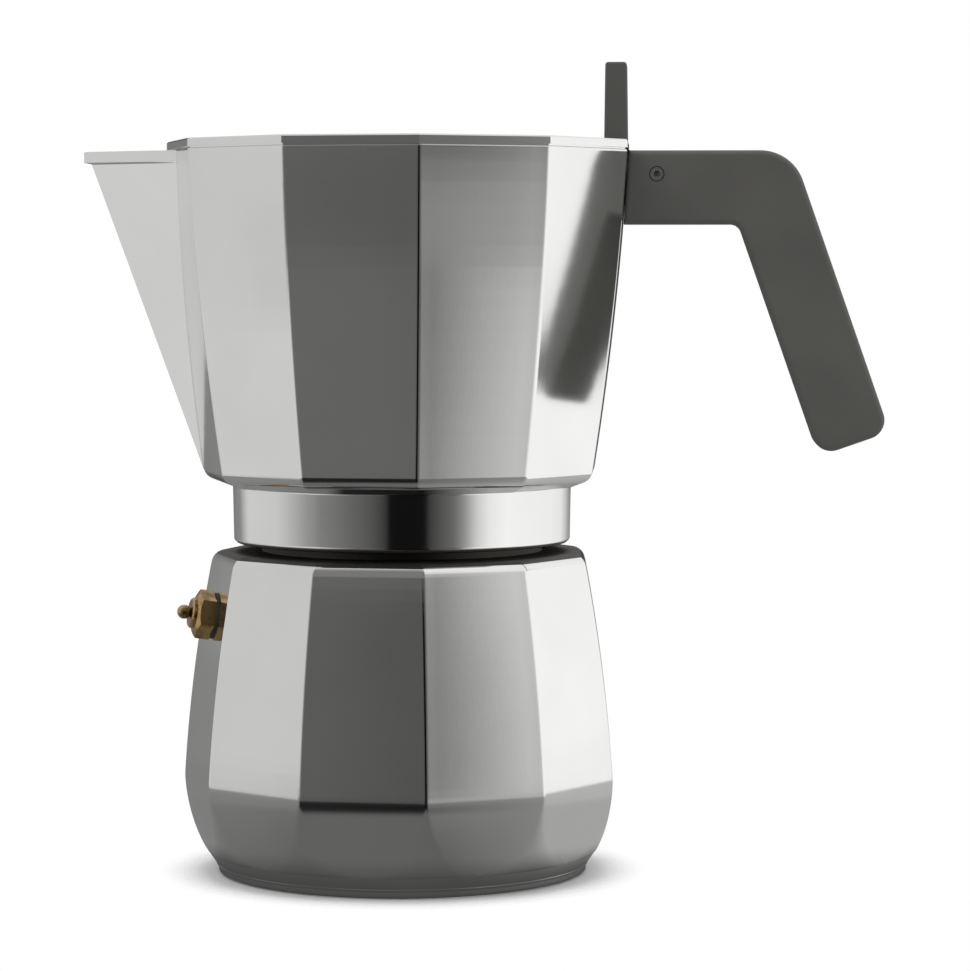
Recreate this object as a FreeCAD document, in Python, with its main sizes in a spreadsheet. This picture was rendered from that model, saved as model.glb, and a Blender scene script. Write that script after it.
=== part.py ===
"""Stovetop coffee maker (moka pot): eleven-sided boiler, screwed-on vessel, hinged lid.

Millimetres and degrees. +Z is up, the origin is on the pot's axis where the base plate
meets the stove, +X points along the handle and -X along the spout.
"""
import FreeCAD, Part
import os
import re

import Sketcher
from FreeCAD import Placement, Rotation, Vector

# Driving sizes. An "a" in a name is a flat-to-axis distance of the eleven-sided outline.
SIZES = {
    "facets": 11,
    "seat_gap": 0.3,            # between pieces that move past each other
    "fit_gap": 0.06,            # radial clearance of a running fit
    "through": 1.0,             # a cut runs this far past what it opens
    "spare": 6.0,               # metal of a blank beyond its widest flat, all cut away
    # boiler
    "base_plate_in": 0.6,       # round base plate inside the foot's edge
    "base_plate_thick": 2.0,
    "base_plate_edge": 0.5,
    "boiler_wall": 3.2,
    "foot_a": 47.0,
    "foot_r": 46.2,             # the foot is round, and the flats fade in above it
    "foot_round_r": 40.5,
    "foot_round_z": 27.0,
    "belly_a": 52.6,
    "belly_z": 25.0,
    "belly_r": 50.0,            # curve from the widest point down to the foot
    "flank_low_a": 52.15,
    "flank_low_z": 31.0,
    "flank_r": 420.0,           # slight bow of the boiler's flats
    "shoulder_out": 10.2,       # shoulder's flats outside the neck
    "shoulder_down": 4.4,       # start of the shoulder's curve below the top
    "shoulder_r": 5.3,
    "shoulder_in": 4.71,        # width of the shoulder's curve
    "inner_bend_down": 4.0,     # curve under the shoulder, inside
    "inner_bend_up": 1.0,
    "boiler_top_z": 80.6,
    "boiler_turn": 1.94,        # clocking of the boiler against the vessel
    "neck_r": 36.0,
    "neck_wall": 4.5,
    "neck_tall": 11.4,
    "neck_groove": 1.0,
    "neck_groove_tall": 2.0,
    "neck_chamfer": 0.8,
    # vessel
    "rim_a": 56.32,
    "vessel_tall": 83.0,        # from the top of the collar to the rim
    "vessel_low_out": 5.7,      # lowest flat of the vessel outside the collar
    "vessel_low_up": 4.05,
    "vessel_flank_r": 845.0,    # slight bow of the vessel's flats
    "vessel_bend_r": 3.5,
    "vessel_bend_in": 2.34,
    "vessel_bend_down": 2.8,
    "vessel_wall": 3.0,
    "vessel_floor": 3.0,
    "floor_bend": 5.0,          # width and height of the curve round the floor
    "floor_bend_r": 6.0,
    "collar_gap": 2.1,          # above the boiler's top
    "collar_wall": 4.25,
    "collar_tall": 14.25,
    "collar_taper": 0.25,
    "collar_chamfer": 0.8,
    "collar_step": 0.2,         # ledge where the flats start above the collar
    "thread_space": 2.0,        # between the neck and the collar's bore
    "seal_recess_out": 0.6,     # gasket's recess outside the neck
    "seal_recess_up": 0.5,      # gasket's recess starts this far up its edge
    "chamber_in": 0.5,          # chamber's wall inside the gasket's bore
    "chamber_tall": 2.7,
    "chamber_taper": 1.5,
    # spout
    "spout_reach": 20.3,        # ridge of the spout beyond the rim's corner
    "spout_half_angle": 29.7,
    "spout_foot_up": 3.5,       # foot of the spout above the collar
    "spout_wall": 2.0,
    "spout_mouth_up": 13.5,     # sill of the channel above the vessel's floor
    "lip_out": 0.8,
    "lip_tall": 2.5,
    "lip_half_angle": 28.4,
    # seals and filters
    "funnel_rim_in": 1.5,       # rim's edge inside the neck's
    "funnel_rim_thick": 1.0,
    "funnel_clear": 1.7,        # basket in the neck's bore
    "funnel_wall": 0.8,
    "funnel_deep": 21.4,
    "funnel_cone_tall": 5.4,
    "funnel_stem_r": 7.0,
    "funnel_stem_end_z": 9.0,
    "sieve_thick": 0.8,
    "sieve_gap": 0.1,           # sieve in the basket
    "sieve_hole_r": 0.9,
    "gasket_thick": 3.0,
    "gasket_bore_in": 1.3,      # gasket's bore inside the basket's wall
    "filter_thick": 0.8,
    "filter_in": 1.1,           # filter plate's edge inside the recess
    "filter_hole_r": 0.8,
    "hole_pitch": 4.4,
    "hole_rings": 6,
    # coffee column
    "column_shank_r": 6.5,
    "column_flange_r": 8.5,
    "column_flange_thick": 2.0,
    "column_low_r": 7.4,
    "column_top_r": 5.6,
    "column_tall": 51.5,
    "column_bore_r": 4.0,
    "outlet_r": 2.2,
    "outlet_down": 6.0,
    "cap_r": 6.2,
    "cap_tall": 3.6,
    "cap_skirt": 1.2,
    "cap_spigot_tall": 2.5,
    # handle and hinge
    "handle_thick": 14.0,
    "handle_seam": 0.3,
    "arm_tall": 18.2,
    "leg_out": 27.43,           # from the vessel's rim to the corner under the arm
    "leg_lean": 19.3,
    "leg_wide": 18.4,
    "leg_long": 60.7,
    "outer_elbow_r": 11.2,
    "inner_elbow_r": 2.7,
    "leg_end_r": 4.8,
    "handle_edge_r": 1.3,
    "hinge_out": 7.2,           # hinge axis outside the vessel's flat
    "hinge_down": 5.8,          # hinge axis below the rim
    "ear_r": 3.7,
    "ear_thick": 1.9,
    "ear_below": 4.0,
    "lug_root": 0.5,            # lug starts this far into the vessel's wall
    "notch_down": 1.2,          # notch in the wall below the hinge axis
    "mortise_gap": 0.1,         # handle beside the vessel's ears
    "tongue_wide": 4.0,
    "tongue_r": 3.0,
    "tongue_low_angle": 217,    # where the tongue's sides leave its barrel
    "tongue_high_angle": 57,
    "pin_r": 1.65,
    "pin_recess": 0.15,
    "pin_ring_r": 1.9,
    "pin_ring_deep": 0.7,
    "socket_r": 0.85,
    "socket_deep": 1.2,
    "slot_reach": 7.4,          # slot in the handle beyond the hinge axis
    # lid
    "lid_over": 0.1,            # lid edge outside the vessel's rim
    "lid_thick": 2.4,
    "lid_step": 0.4,
    "lid_step_in": 0.6,
    "lid_edge": 0.35,
    "lid_lip_thick": 1.6,
    "lid_lip_tall": 3.0,
    "lid_lip_gap": 0.8,
    "lid_lip_back": 22.3,       # lip stops this far inside the rim, beside the hinge
    "knob_in": 0.1,             # knob foot inside the lid's edge
    "knob_thick": 5.8,
    "knob_taper": 0.5,
    "knob_tall": 19.3,
    "knob_r": 0.8,
    "knob_edge_r": 0.5,
    "screw_r": 1.25,
    "screw_head_r": 2.35,
    "screw_head_tall": 1.35,
    "screw_long": 10.4,
    "screw_apart": 9.0,
    # safety valve, measured along its own axis from the boiler's flat
    "valve_z": 65.1,
    "valve_facet": 5,
    "valve_turn": 9.0,
    "valve_shank_r": 4.0,
    "valve_shank_long": 5.6,
    "valve_hole_long": 24.0,
    "valve_washer_r": 5.7,
    "valve_washer_thick": 0.6,
    "valve_hex_r": 6.1,
    "valve_hex_tall": 4.3,
    "valve_hex_chamfer": 0.9,
    "valve_collar_r": 3.75,
    "valve_collar_tall": 1.1,
    "valve_collar_edge": 0.4,
    "valve_bore_r": 2.6,
    "valve_cap_thick": 1.7,
    "valve_seat_thick": 1.0,
    "valve_inlet_r": 1.4,
    "valve_seal_thick": 0.8,
    "valve_seal_r": 2.3,
    "valve_disc_thick": 1.0,
    "valve_stem_r": 0.92,
    "valve_ball_r": 1.75,
    "valve_reach": 9.2,         # from the boiler's flat to the end of the ball
    "valve_travel": 1.5,
    "spring_wire_r": 0.25,
    "spring_turns": 5,
}

# Sizes that follow from the driving ones.
FORMULAS = {
    "flat_ratio": "cos(180 / facets)",
    "base_plate_r": "foot_r - base_plate_in",
    "belly_corner_r": "belly_a / flat_ratio",
    "shoulder_a": "neck_r + shoulder_out",
    "shoulder_z": "boiler_top_z - shoulder_down",
    "neck_top_z": "boiler_top_z + neck_tall",
    "neck_bore_r": "neck_r - neck_wall",
    "collar_bore_r": "neck_r + thread_space",
    "collar_r": "collar_bore_r + collar_wall",
    "collar_low_z": "boiler_top_z + collar_gap",
    "collar_top_z": "collar_low_z + collar_tall",
    "seal_recess_r": "neck_r + seal_recess_out",
    "rim_z": "collar_top_z + vessel_tall",
    "vessel_low_a": "collar_r + vessel_low_out",
    "vessel_low_z": "collar_top_z + vessel_low_up",
    "funnel_rim_r": "neck_r - funnel_rim_in",
    "funnel_r": "neck_bore_r - funnel_clear",
    "gasket_bore_r": "funnel_r - gasket_bore_in",
    "chamber_r": "gasket_bore_r - chamber_in",
    "filter_r": "seal_recess_r - filter_in",
    "boiler_floor_z": "base_plate_thick + boiler_wall",
    "belly_cx": "belly_a - belly_r",
    "belly_low_r": "(flank_low_z - belly_z) ^ 2 / (belly_a - flank_low_a) / 2",
    "flank_dx": "flank_low_a - shoulder_a",
    "flank_dz": "shoulder_z - flank_low_z",
    "flank_chord": "sqrt(flank_dx ^ 2 + flank_dz ^ 2)",
    "flank_rise": "sqrt(flank_r ^ 2 - flank_chord ^ 2 / 4)",
    "flank_cx": "(flank_low_a + shoulder_a) / 2 - flank_rise * flank_dz / flank_chord",
    "flank_cz": "(flank_low_z + shoulder_z) / 2 - flank_rise * flank_dx / flank_chord",
    "vessel_dx": "rim_a - vessel_low_a",
    "vessel_dz": "rim_z - vessel_low_z",
    "vessel_chord": "sqrt(vessel_dx ^ 2 + vessel_dz ^ 2)",
    "vessel_rise": "sqrt(vessel_flank_r ^ 2 - vessel_chord ^ 2 / 4)",
    "vessel_cx": "(rim_a + vessel_low_a) / 2 - vessel_rise * vessel_dz / vessel_chord",
    "vessel_cz": "(rim_z + vessel_low_z) / 2 + vessel_rise * vessel_dx / vessel_chord",
    "funnel_rim_z": "neck_top_z + funnel_rim_thick",
    "filter_z": "funnel_rim_z + gasket_thick",
    "seal_seat_z": "filter_z + filter_thick",
    "chamber_top_z": "seal_seat_z + chamber_tall",
    "floor_z": "chamber_top_z + vessel_floor",
    "spout_foot_z": "collar_top_z + spout_foot_up",
    "spout_foot_x": "vessel_low_a / flat_ratio",
    "spout_tip_x": "rim_a / flat_ratio + spout_reach",
    "spout_mouth_z": "floor_z + spout_mouth_up",
    "lip_tip_x": "spout_tip_x + lip_out",
    "column_top_z": "floor_z + column_tall",
    "cap_dome": "cap_tall - cap_skirt",
    "cap_dome_r": "(cap_r ^ 2 + cap_dome ^ 2) / cap_dome / 2",
    "sieve_z": "funnel_rim_z - funnel_deep",
    "hinge_x": "rim_a + hinge_out",
    "hinge_z": "rim_z - hinge_down",
    "arm_low_z": "rim_z - arm_tall",
    "leg_x": "rim_a + leg_out",
    "gap_half": "tongue_wide / 2 + seat_gap",
    "ear_half": "tongue_wide / 2 + seat_gap + ear_thick",
    "lid_a": "rim_a + lid_over",
    "lid_top_z": "rim_z + lid_thick",
    "lid_joint_z": "rim_z + 1.5 * lid_step",
    "valve_out": "flank_cx + sqrt(flank_r ^ 2 - (valve_z - flank_cz) ^ 2)",
    "valve_rise": "atan((valve_z - flank_cz) / (valve_out - flank_cx))",
    "valve_hex_z": "valve_washer_thick + valve_hex_tall",
    "valve_top_z": "valve_hex_z + valve_collar_tall",
    "valve_seal_z": "valve_seat_thick - valve_shank_long",
    "valve_disc_z": "valve_seal_z + valve_seal_thick",
    "valve_cavity_z": "valve_top_z - valve_cap_thick",
}

FUNCTIONS = {"sqrt", "cos", "sin", "tan", "atan", "min", "max"}
UP = Vector(0, 0, 1)
SPARE_CELL = "Z1"
TOLERANCE = 0.01
PROBE = 0.5                     # how far outside a flat the test for leftover metal looks

doc = FreeCAD.newDocument("MokaPot")
sheet = doc.addObject("Spreadsheet::Sheet", "Sizes")
NODES = {}


# ---------------------------------------------------------------- sheet and sketches
def fill_sheet():
    """Write every size into the sheet, one row each, with its alias."""
    rows = [(name, str(value)) for name, value in SIZES.items()]
    rows += [(name, "=" + text) for name, text in FORMULAS.items()]
    for row, (name, text) in enumerate(rows, start=1):
        sheet.set(f"A{row}", name)
        sheet.set(f"B{row}", text)
        sheet.setAlias(f"B{row}", name)
    doc.recompute()


def value(text):
    """Number that the sheet gives for a formula in its own names."""
    sheet.set(SPARE_CELL, f"={text}")
    sheet.recompute()
    return float(sheet.get(SPARE_CELL))


def linked(text):
    """The formula with each size name pointed at the sheet."""
    def point(match):
        word = match.group(0)
        return word if word in FUNCTIONS else f"Sizes.{word}"
    return re.sub(r"[a-z][a-z_]*", point, str(text))


def bind(thing, prop, text):
    """Tie a property to a formula in the sheet."""
    thing.setExpression(prop, linked(text))


def origin_part(body, role):
    """A body's own origin plane or axis, found by its role."""
    return next(part for part in body.Origin.OriginFeatures if part.Role == role)


def new_body(name):
    """An empty PartDesign body."""
    body = doc.addObject("PartDesign::Body", name)
    body.Label = name
    return body


def new_sketch(body, name, role, height):
    """A sketch on one of the body's origin planes, raised along the plane's normal."""
    sketch = body.newObject("Sketcher::SketchObject", name)
    sketch.AttachmentSupport = (origin_part(body, role), [""])
    sketch.MapMode = "FlatFace"
    if height is not None:
        bind(sketch, "AttachmentOffset.Base.z", height)
    return sketch


def hold(sketch, kind, geometry, point, text):
    """Fix one coordinate of a sketch point to a formula."""
    number = value(text)
    if abs(number) < TOLERANCE ** 4:
        axis = -2 if kind == "DistanceX" else -1
        sketch.addConstraint(Sketcher.Constraint("PointOnObject", geometry, point, axis))
        return
    index = sketch.addConstraint(Sketcher.Constraint(kind, -1, 1, geometry, point, number))
    bind(sketch, f"Constraints[{index}]", text)


def arc_between(start, end, radius):
    """Arc from start to end; a positive radius turns to the left, a negative to the right."""
    chord = end - start
    reach = (radius ** 2 - chord.Length ** 2 / 4) ** 0.5
    side = Vector(-chord.y, chord.x, 0).normalize()
    turn = 1 if radius > 0 else -1
    centre = (start + end) * 0.5 + side * (reach * turn)
    middle = centre - side * (abs(radius) * turn)
    return Part.Arc(start, middle, end)


def outline(body, name, corners, role="XZ_Plane", height=None):
    """Closed sketch through corners (x, y), with (x, y, radius) where an arc follows."""
    sketch = new_sketch(body, name, role, height)
    points = [Vector(value(corner[0]), value(corner[1]), 0) for corner in corners]
    ends = []
    for index, corner in enumerate(corners):
        start, end = points[index], points[(index + 1) % len(points)]
        if len(corner) == 2:
            edge = sketch.addGeometry(Part.LineSegment(start, end), False)
            ends.append((edge, 1, 2))
            continue
        radius = value(corner[2])
        edge = sketch.addGeometry(arc_between(start, end, radius), False)
        ends.append((edge, 1, 2) if radius > 0 else (edge, 2, 1))
    for index, (edge, first, last) in enumerate(ends):
        next_edge, next_first, _ = ends[(index + 1) % len(ends)]
        sketch.addConstraint(Sketcher.Constraint("Coincident", edge, last, next_edge, next_first))
        hold(sketch, "DistanceX", edge, first, corners[index][0])
        hold(sketch, "DistanceY", edge, first, corners[index][1])
        if len(corners[index]) == 3:
            size = str(corners[index][2]).lstrip("-")
            number = sketch.addConstraint(Sketcher.Constraint("Radius", edge, value(size)))
            bind(sketch, f"Constraints[{number}]", size)
    return sketch


def circles(body, name, places, radius, height=None):
    """Sketch of equal circles at (x, y) places in the body's XY plane."""
    sketch = new_sketch(body, name, "XY_Plane", height)
    for x, y in places:
        centre = Vector(value(x), value(y), 0)
        ring = sketch.addGeometry(Part.Circle(centre, UP, value(radius)), False)
        hold(sketch, "DistanceX", ring, 3, x)
        hold(sketch, "DistanceY", ring, 3, y)
        number = sketch.addConstraint(Sketcher.Constraint("Radius", ring, value(radius)))
        bind(sketch, f"Constraints[{number}]", radius)
    return sketch


# ---------------------------------------------------------------- features
def revolve(body, sketch, kind="Revolution"):
    """Turn a sketch about its own vertical axis, as metal or as a cut."""
    feature = body.newObject(f"PartDesign::{kind}", f"{sketch.Name}_{kind}")
    feature.Profile = sketch
    feature.ReferenceAxis = (sketch, ["V_Axis"])
    feature.Angle = 360
    body.Tip = feature
    return feature


def pad(body, sketch, length, symmetric=False):
    """Extrude a sketch."""
    feature = body.newObject("PartDesign::Pad", f"{sketch.Name}_Pad")
    feature.Profile = sketch
    bind(feature, "Length", length)
    if symmetric:
        feature.SideType = "Symmetric"
    body.Tip = feature
    return feature


def pocket(body, sketch, length=None):
    """Cut a sketch both ways from its plane, through everything or to a total length."""
    feature = body.newObject("PartDesign::Pocket", f"{sketch.Name}_Pocket")
    feature.Profile = sketch
    feature.SideType = "Symmetric"
    if length is None:
        feature.Type = "ThroughAll"
    else:
        bind(feature, "Length", length)
    body.Tip = feature
    return feature


def around(body, feature, count):
    """Repeat a feature evenly about the body's Z axis."""
    pattern = body.newObject("PartDesign::PolarPattern", f"{feature.Name}_Pattern")
    pattern.Originals = [feature]
    pattern.Axis = (origin_part(body, "Z_Axis"), [""])
    pattern.Angle = 360
    bind(pattern, "Occurrences", count)
    body.Tip = pattern
    return pattern


def fillet(body, radius, choose):
    """Round the edges that choose(edge) accepts."""
    doc.recompute()
    base = body.Tip
    names = [f"Edge{i}" for i, edge in enumerate(base.Shape.Edges, start=1) if choose(edge)]
    feature = body.newObject("PartDesign::Fillet", f"{base.Name}_Fillet")
    feature.Base = (base, names)
    bind(feature, "Radius", radius)
    body.Tip = feature
    return feature


def near(edge, **where):
    """True when the edge's middle lies at the given coordinates."""
    middle = edge.CenterOfMass
    return all(abs(getattr(middle, axis) - place) < TOLERANCE
               for axis, place in where.items())


def turned(name, corners, placement=None):
    """A turned piece: an (r, z) outline swept round the Z axis."""
    body = new_body(name)
    revolve(body, outline(body, f"{name}_outline", corners))
    if placement is not None:
        body.Placement = placement
    return body


def cylinder(name, radius, length, base, direction=UP):
    """Round tool or blank from a base point along a direction."""
    solid = doc.addObject("Part::Cylinder", name)
    bind(solid, "Radius", radius)
    bind(solid, "Height", length)
    solid.Placement = Placement(base, Rotation(UP, direction))
    return solid


def block(name, low, high):
    """Box between two corners, each a triple of formulas."""
    solid = doc.addObject("Part::Box", name)
    for prop, start, end in zip(("Length", "Width", "Height"), low, high):
        bind(solid, prop, f"({end}) - ({start})")
    solid.Placement = Placement(Vector(*(value(text) for text in low)), Rotation())
    return solid


def prism(name, flat, low, high, count="facets"):
    """Upright prism with a flat towards +X; flat is its flat-to-axis distance."""
    solid = doc.addObject("Part::Prism", name)
    bind(solid, "Polygon", count)
    bind(solid, "Circumradius", f"({flat}) / cos(180 / {count})")
    bind(solid, "Height", f"({high}) - ({low})")
    spin = Rotation(UP, value(f"180 / {count}"))
    solid.Placement = Placement(Vector(0, 0, value(low)), spin)
    return solid


def joined(name, *solids):
    """Fuse solids into one."""
    result = doc.addObject("Part::MultiFuse", name)
    result.Shapes = list(solids)
    result.Label = name
    return result


def cut(name, base, *tools):
    """Take tools away from a base."""
    result = doc.addObject("Part::Cut", name)
    result.Base = base
    result.Tool = tools[0] if len(tools) == 1 else joined(f"{name}_tools", *tools)
    result.Label = name
    return result


def faceted(body, name, profile, widest):
    """Cut the region outside a profile away from each flat of the body.

    profile runs from bottom to top, and widest is its widest flat-to-axis distance.
    """
    first, last = profile[0], profile[-1]
    far = f"{widest} + 1.5 * spare"
    below, above = f"{first[1]} - spare", f"{last[1]} + spare"
    corners = [(first[0], below), *profile, (last[0], above), (far, above), (far, below)]
    sketch = outline(body, f"{name}_flat", corners)
    across = f"2 * ({far}) * tan(180 / facets)"
    around(body, pocket(body, sketch, across), "facets")
    check_flats(body, profile)


def check_flats(body, profile):
    """Stop if metal is left outside any of the flats at the profile's corners."""
    doc.recompute()
    for corner in profile[1:-1]:
        outside = Vector(value(corner[0]) + PROBE, 0, value(corner[1]))
        for index in range(SIZES["facets"]):
            spin = Rotation(UP, index * 360 / SIZES["facets"])
            if body.Shape.isInside(spin.multVec(outside), TOLERANCE, True):
                raise RuntimeError(f"{body.Name}: flat {index} was not cut")


def vessel_at(z, inset="0"):
    """Flat-to-axis distance of the vessel's wall at a height, less an inset."""
    return f"(vessel_cx + sqrt((vessel_flank_r - {inset}) ^ 2 - ({z} - vessel_cz) ^ 2))"


# ---------------------------------------------------------------- boiler and valve
def valve_placement(spin=0.0):
    """Frame on the boiler's flat whose +Z points out along the valve."""
    around_pot = -value("valve_facet * 360 / facets") + value("boiler_turn")
    face_out = Rotation(UP, around_pot)
    lean = Rotation(Vector(0, 1, 0), 90 - value("valve_rise"))
    place = face_out.multVec(Vector(value("valve_out"), 0, value("valve_z")))
    return Placement(place, face_out.multiply(lean).multiply(Rotation(UP, spin)))


def make_boiler():
    """Cast boiler: flats outside, round inside, with a neck for the vessel to screw on."""
    body = new_body("boiler_casting")
    groove_r = "neck_r - neck_groove"
    groove_z = "boiler_top_z + neck_groove_tall"
    blank = [("0", "base_plate_thick"), ("foot_r", "base_plate_thick", "foot_round_r"),
             ("belly_corner_r", "foot_round_z"), ("belly_a + spare", "foot_round_z"),
             ("belly_a + spare", "boiler_top_z"), (groove_r, "boiler_top_z"),
             (groove_r, groove_z), ("neck_r", f"{groove_z} + neck_groove"),
             ("neck_r", "neck_top_z - neck_chamfer"), ("neck_r - neck_chamfer", "neck_top_z"),
             ("0", "neck_top_z")]
    revolve(body, outline(body, "boiler_blank", blank))
    flank = [("foot_a", "base_plate_thick", "belly_r"),
             ("belly_a", "belly_z", "belly_low_r"),
             ("flank_low_a", "flank_low_z", "flank_r"),
             ("shoulder_a", "shoulder_z", "shoulder_r"),
             ("shoulder_a - shoulder_in", "boiler_top_z")]
    faceted(body, "boiler", flank, "belly_a")
    inner = [("0", "boiler_floor_z"),
             ("belly_cx + sqrt((belly_r - boiler_wall) ^ 2 - (belly_z - boiler_floor_z) ^ 2)",
              "boiler_floor_z", "belly_r - boiler_wall"),
             ("belly_a - boiler_wall", "belly_z"),
             ("flank_low_a - boiler_wall", "flank_low_z"),
             ("shoulder_a - boiler_wall", "shoulder_z - inner_bend_down", "shoulder_r"),
             ("shoulder_a - boiler_wall - shoulder_r", "shoulder_z + inner_bend_up"),
             ("neck_bore_r", "boiler_top_z - boiler_wall"),
             ("neck_bore_r", "neck_top_z + through"), ("0", "neck_top_z + through")]
    revolve(body, outline(body, "boiler_inside", inner), "Groove")
    body.Placement = Placement(Vector(), Rotation(UP, value("boiler_turn")))
    place = valve_placement()
    start = place.multVec(Vector(0, 0, value("-valve_hole_long / 2")))
    hole = cylinder("valve_hole", "valve_shank_r", "valve_hole_long", start,
                    place.Rotation.multVec(UP))
    NODES["boiler"] = cut("boiler", body, hole)
    NODES["base_plate"] = turned("base_plate", [
        ("0", "0"), ("base_plate_r - base_plate_edge", "0"), ("base_plate_r", "base_plate_edge"),
        ("base_plate_r", "base_plate_thick"), ("0", "base_plate_thick")])


def make_valve():
    """Safety valve: brass body, washer, inlet seat, sprung plunger and its seal."""
    place = valve_placement(value("valve_turn"))
    hex_bar = doc.addObject("Part::Prism", "valve_hex")
    bind(hex_bar, "Polygon", "6")
    bind(hex_bar, "Circumradius", "valve_hex_r")
    bind(hex_bar, "Height", "valve_hex_tall")
    hex_bar.Placement = place.multiply(
        Placement(Vector(0, 0, value("valve_washer_thick")), Rotation()))
    dome = turned("valve_turning", [
        ("0", "0"), ("valve_hex_r", "0"), ("valve_hex_r", "valve_hex_z - valve_hex_chamfer"),
        ("valve_hex_r - 2 * valve_hex_chamfer", "valve_hex_z"), ("0", "valve_hex_z")], place)
    head = doc.addObject("Part::Common", "valve_head")
    head.Base = hex_bar
    head.Tool = dome
    shank = turned("valve_shank", [
        ("0", "-valve_shank_long"), ("valve_shank_r", "-valve_shank_long"),
        ("valve_shank_r", "valve_hex_z"), ("valve_collar_r", "valve_hex_z"),
        ("valve_collar_r", "valve_top_z - valve_collar_edge"),
        ("valve_collar_r - valve_collar_edge", "valve_top_z"),
        ("0", "valve_top_z")], place)
    cavity = turned("valve_cavity", [
        ("0", "-valve_shank_long - through"), ("valve_bore_r", "-valve_shank_long - through"),
        ("valve_bore_r", "valve_cavity_z"), ("valve_stem_r + fit_gap", "valve_cavity_z"),
        ("valve_stem_r + fit_gap", "valve_top_z + through"), ("0", "valve_top_z + through")],
        place)
    NODES["valve_body"] = cut("valve_body", joined("valve_solid", head, shank), cavity)
    NODES["valve_washer"] = turned("valve_washer", [
        ("valve_shank_r", "0"), ("valve_washer_r", "0"),
        ("valve_washer_r", "valve_washer_thick"), ("valve_shank_r", "valve_washer_thick")], place)
    NODES["valve_seat"] = turned("valve_seat", [
        ("valve_inlet_r", "-valve_shank_long"), ("valve_bore_r", "-valve_shank_long"),
        ("valve_bore_r", "valve_seal_z"), ("valve_inlet_r", "valve_seal_z")], place)
    NODES["valve_seal"] = turned("valve_seal", [
        ("0", "valve_seal_z"), ("valve_seal_r", "valve_seal_z"),
        ("valve_seal_r", "valve_disc_z"), ("0", "valve_disc_z")], place)
    ball_z = "valve_reach - valve_ball_r"
    stem_top = f"{ball_z} - sqrt(valve_ball_r ^ 2 - valve_stem_r ^ 2)"
    NODES["valve_plunger"] = turned("valve_plunger", [
        ("0", "valve_disc_z"), ("valve_seal_r", "valve_disc_z"),
        ("valve_seal_r", "valve_disc_z + valve_disc_thick"),
        ("valve_stem_r", "valve_disc_z + valve_disc_thick"),
        ("valve_stem_r", stem_top, "valve_ball_r"), ("0", "valve_reach")], place)
    make_spring(place)


def make_spring(place):
    """Coil spring on the plunger's stem, at its length with the valve fully open."""
    wire_r = value("spring_wire_r")
    low = value("valve_disc_z + valve_disc_thick + spring_wire_r")
    high = value("valve_cavity_z - valve_travel - seat_gap - spring_wire_r")
    coil_r = value("valve_bore_r - seat_gap - spring_wire_r")
    pitch = (high - low) / value("spring_turns")
    coil = Part.makeHelix(pitch, high - low, coil_r)
    section = Part.Wire(Part.Circle(Vector(coil_r, 0, 0), Vector(0, 1, 0), wire_r).toShape())
    spring = doc.addObject("Part::Feature", "valve_spring")
    spring.Shape = Part.Wire(coil.Edges).makePipeShell([section], True, True)
    spring.Placement = place.multiply(Placement(Vector(0, 0, low), Rotation()))
    NODES["valve_spring"] = spring


# ---------------------------------------------------------------- funnel, seal and filters
def perforate(body, radius, height):
    """Drill a centre hole and rings of six, twelve, eighteen ... holes."""
    pocket(body, circles(body, f"{body.Name}_middle", [("0", "0")], radius, height))
    for ring in range(1, SIZES["hole_rings"] + 1):
        place = (f"{ring} * hole_pitch", "0")
        hole = pocket(body, circles(body, f"{body.Name}_ring{ring}", [place], radius, height))
        around(body, hole, 6 * ring)


def make_funnel():
    """Coffee basket with its rim on the boiler's neck and a stem down to the water."""
    inner_r = "funnel_r - funnel_wall"
    cone_low = "sieve_z - funnel_cone_tall"
    NODES["funnel"] = turned("funnel", [
        ("funnel_rim_r", "neck_top_z"), ("funnel_rim_r", "funnel_rim_z"),
        (inner_r, "funnel_rim_z"), (inner_r, "sieve_z"),
        ("funnel_stem_r - funnel_wall", cone_low),
        ("funnel_stem_r - funnel_wall", "funnel_stem_end_z"),
        ("funnel_stem_r", "funnel_stem_end_z"),
        ("funnel_stem_r", f"{cone_low} - funnel_wall"),
        ("funnel_r", "sieve_z - funnel_wall"), ("funnel_r", "neck_top_z")])
    sieve = turned("funnel_sieve", [
        ("0", "sieve_z"), (f"{inner_r} - sieve_gap", "sieve_z"),
        (f"{inner_r} - sieve_gap", "sieve_z + sieve_thick"), ("0", "sieve_z + sieve_thick")])
    perforate(sieve, "sieve_hole_r", "sieve_z")
    NODES["funnel_sieve"] = sieve


def make_seal():
    """Ring gasket and the filter plate that it carries under the vessel."""
    NODES["gasket"] = turned("gasket", [
        ("gasket_bore_r", "funnel_rim_z"), ("seal_recess_r - seat_gap", "funnel_rim_z"),
        ("seal_recess_r - seat_gap", "filter_z"), ("gasket_bore_r", "filter_z")])
    plate = turned("filter_plate", [
        ("0", "filter_z"), ("filter_r", "filter_z"),
        ("filter_r", "seal_seat_z"), ("0", "seal_seat_z")])
    perforate(plate, "filter_hole_r", "filter_z")
    NODES["filter_plate"] = plate


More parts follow.
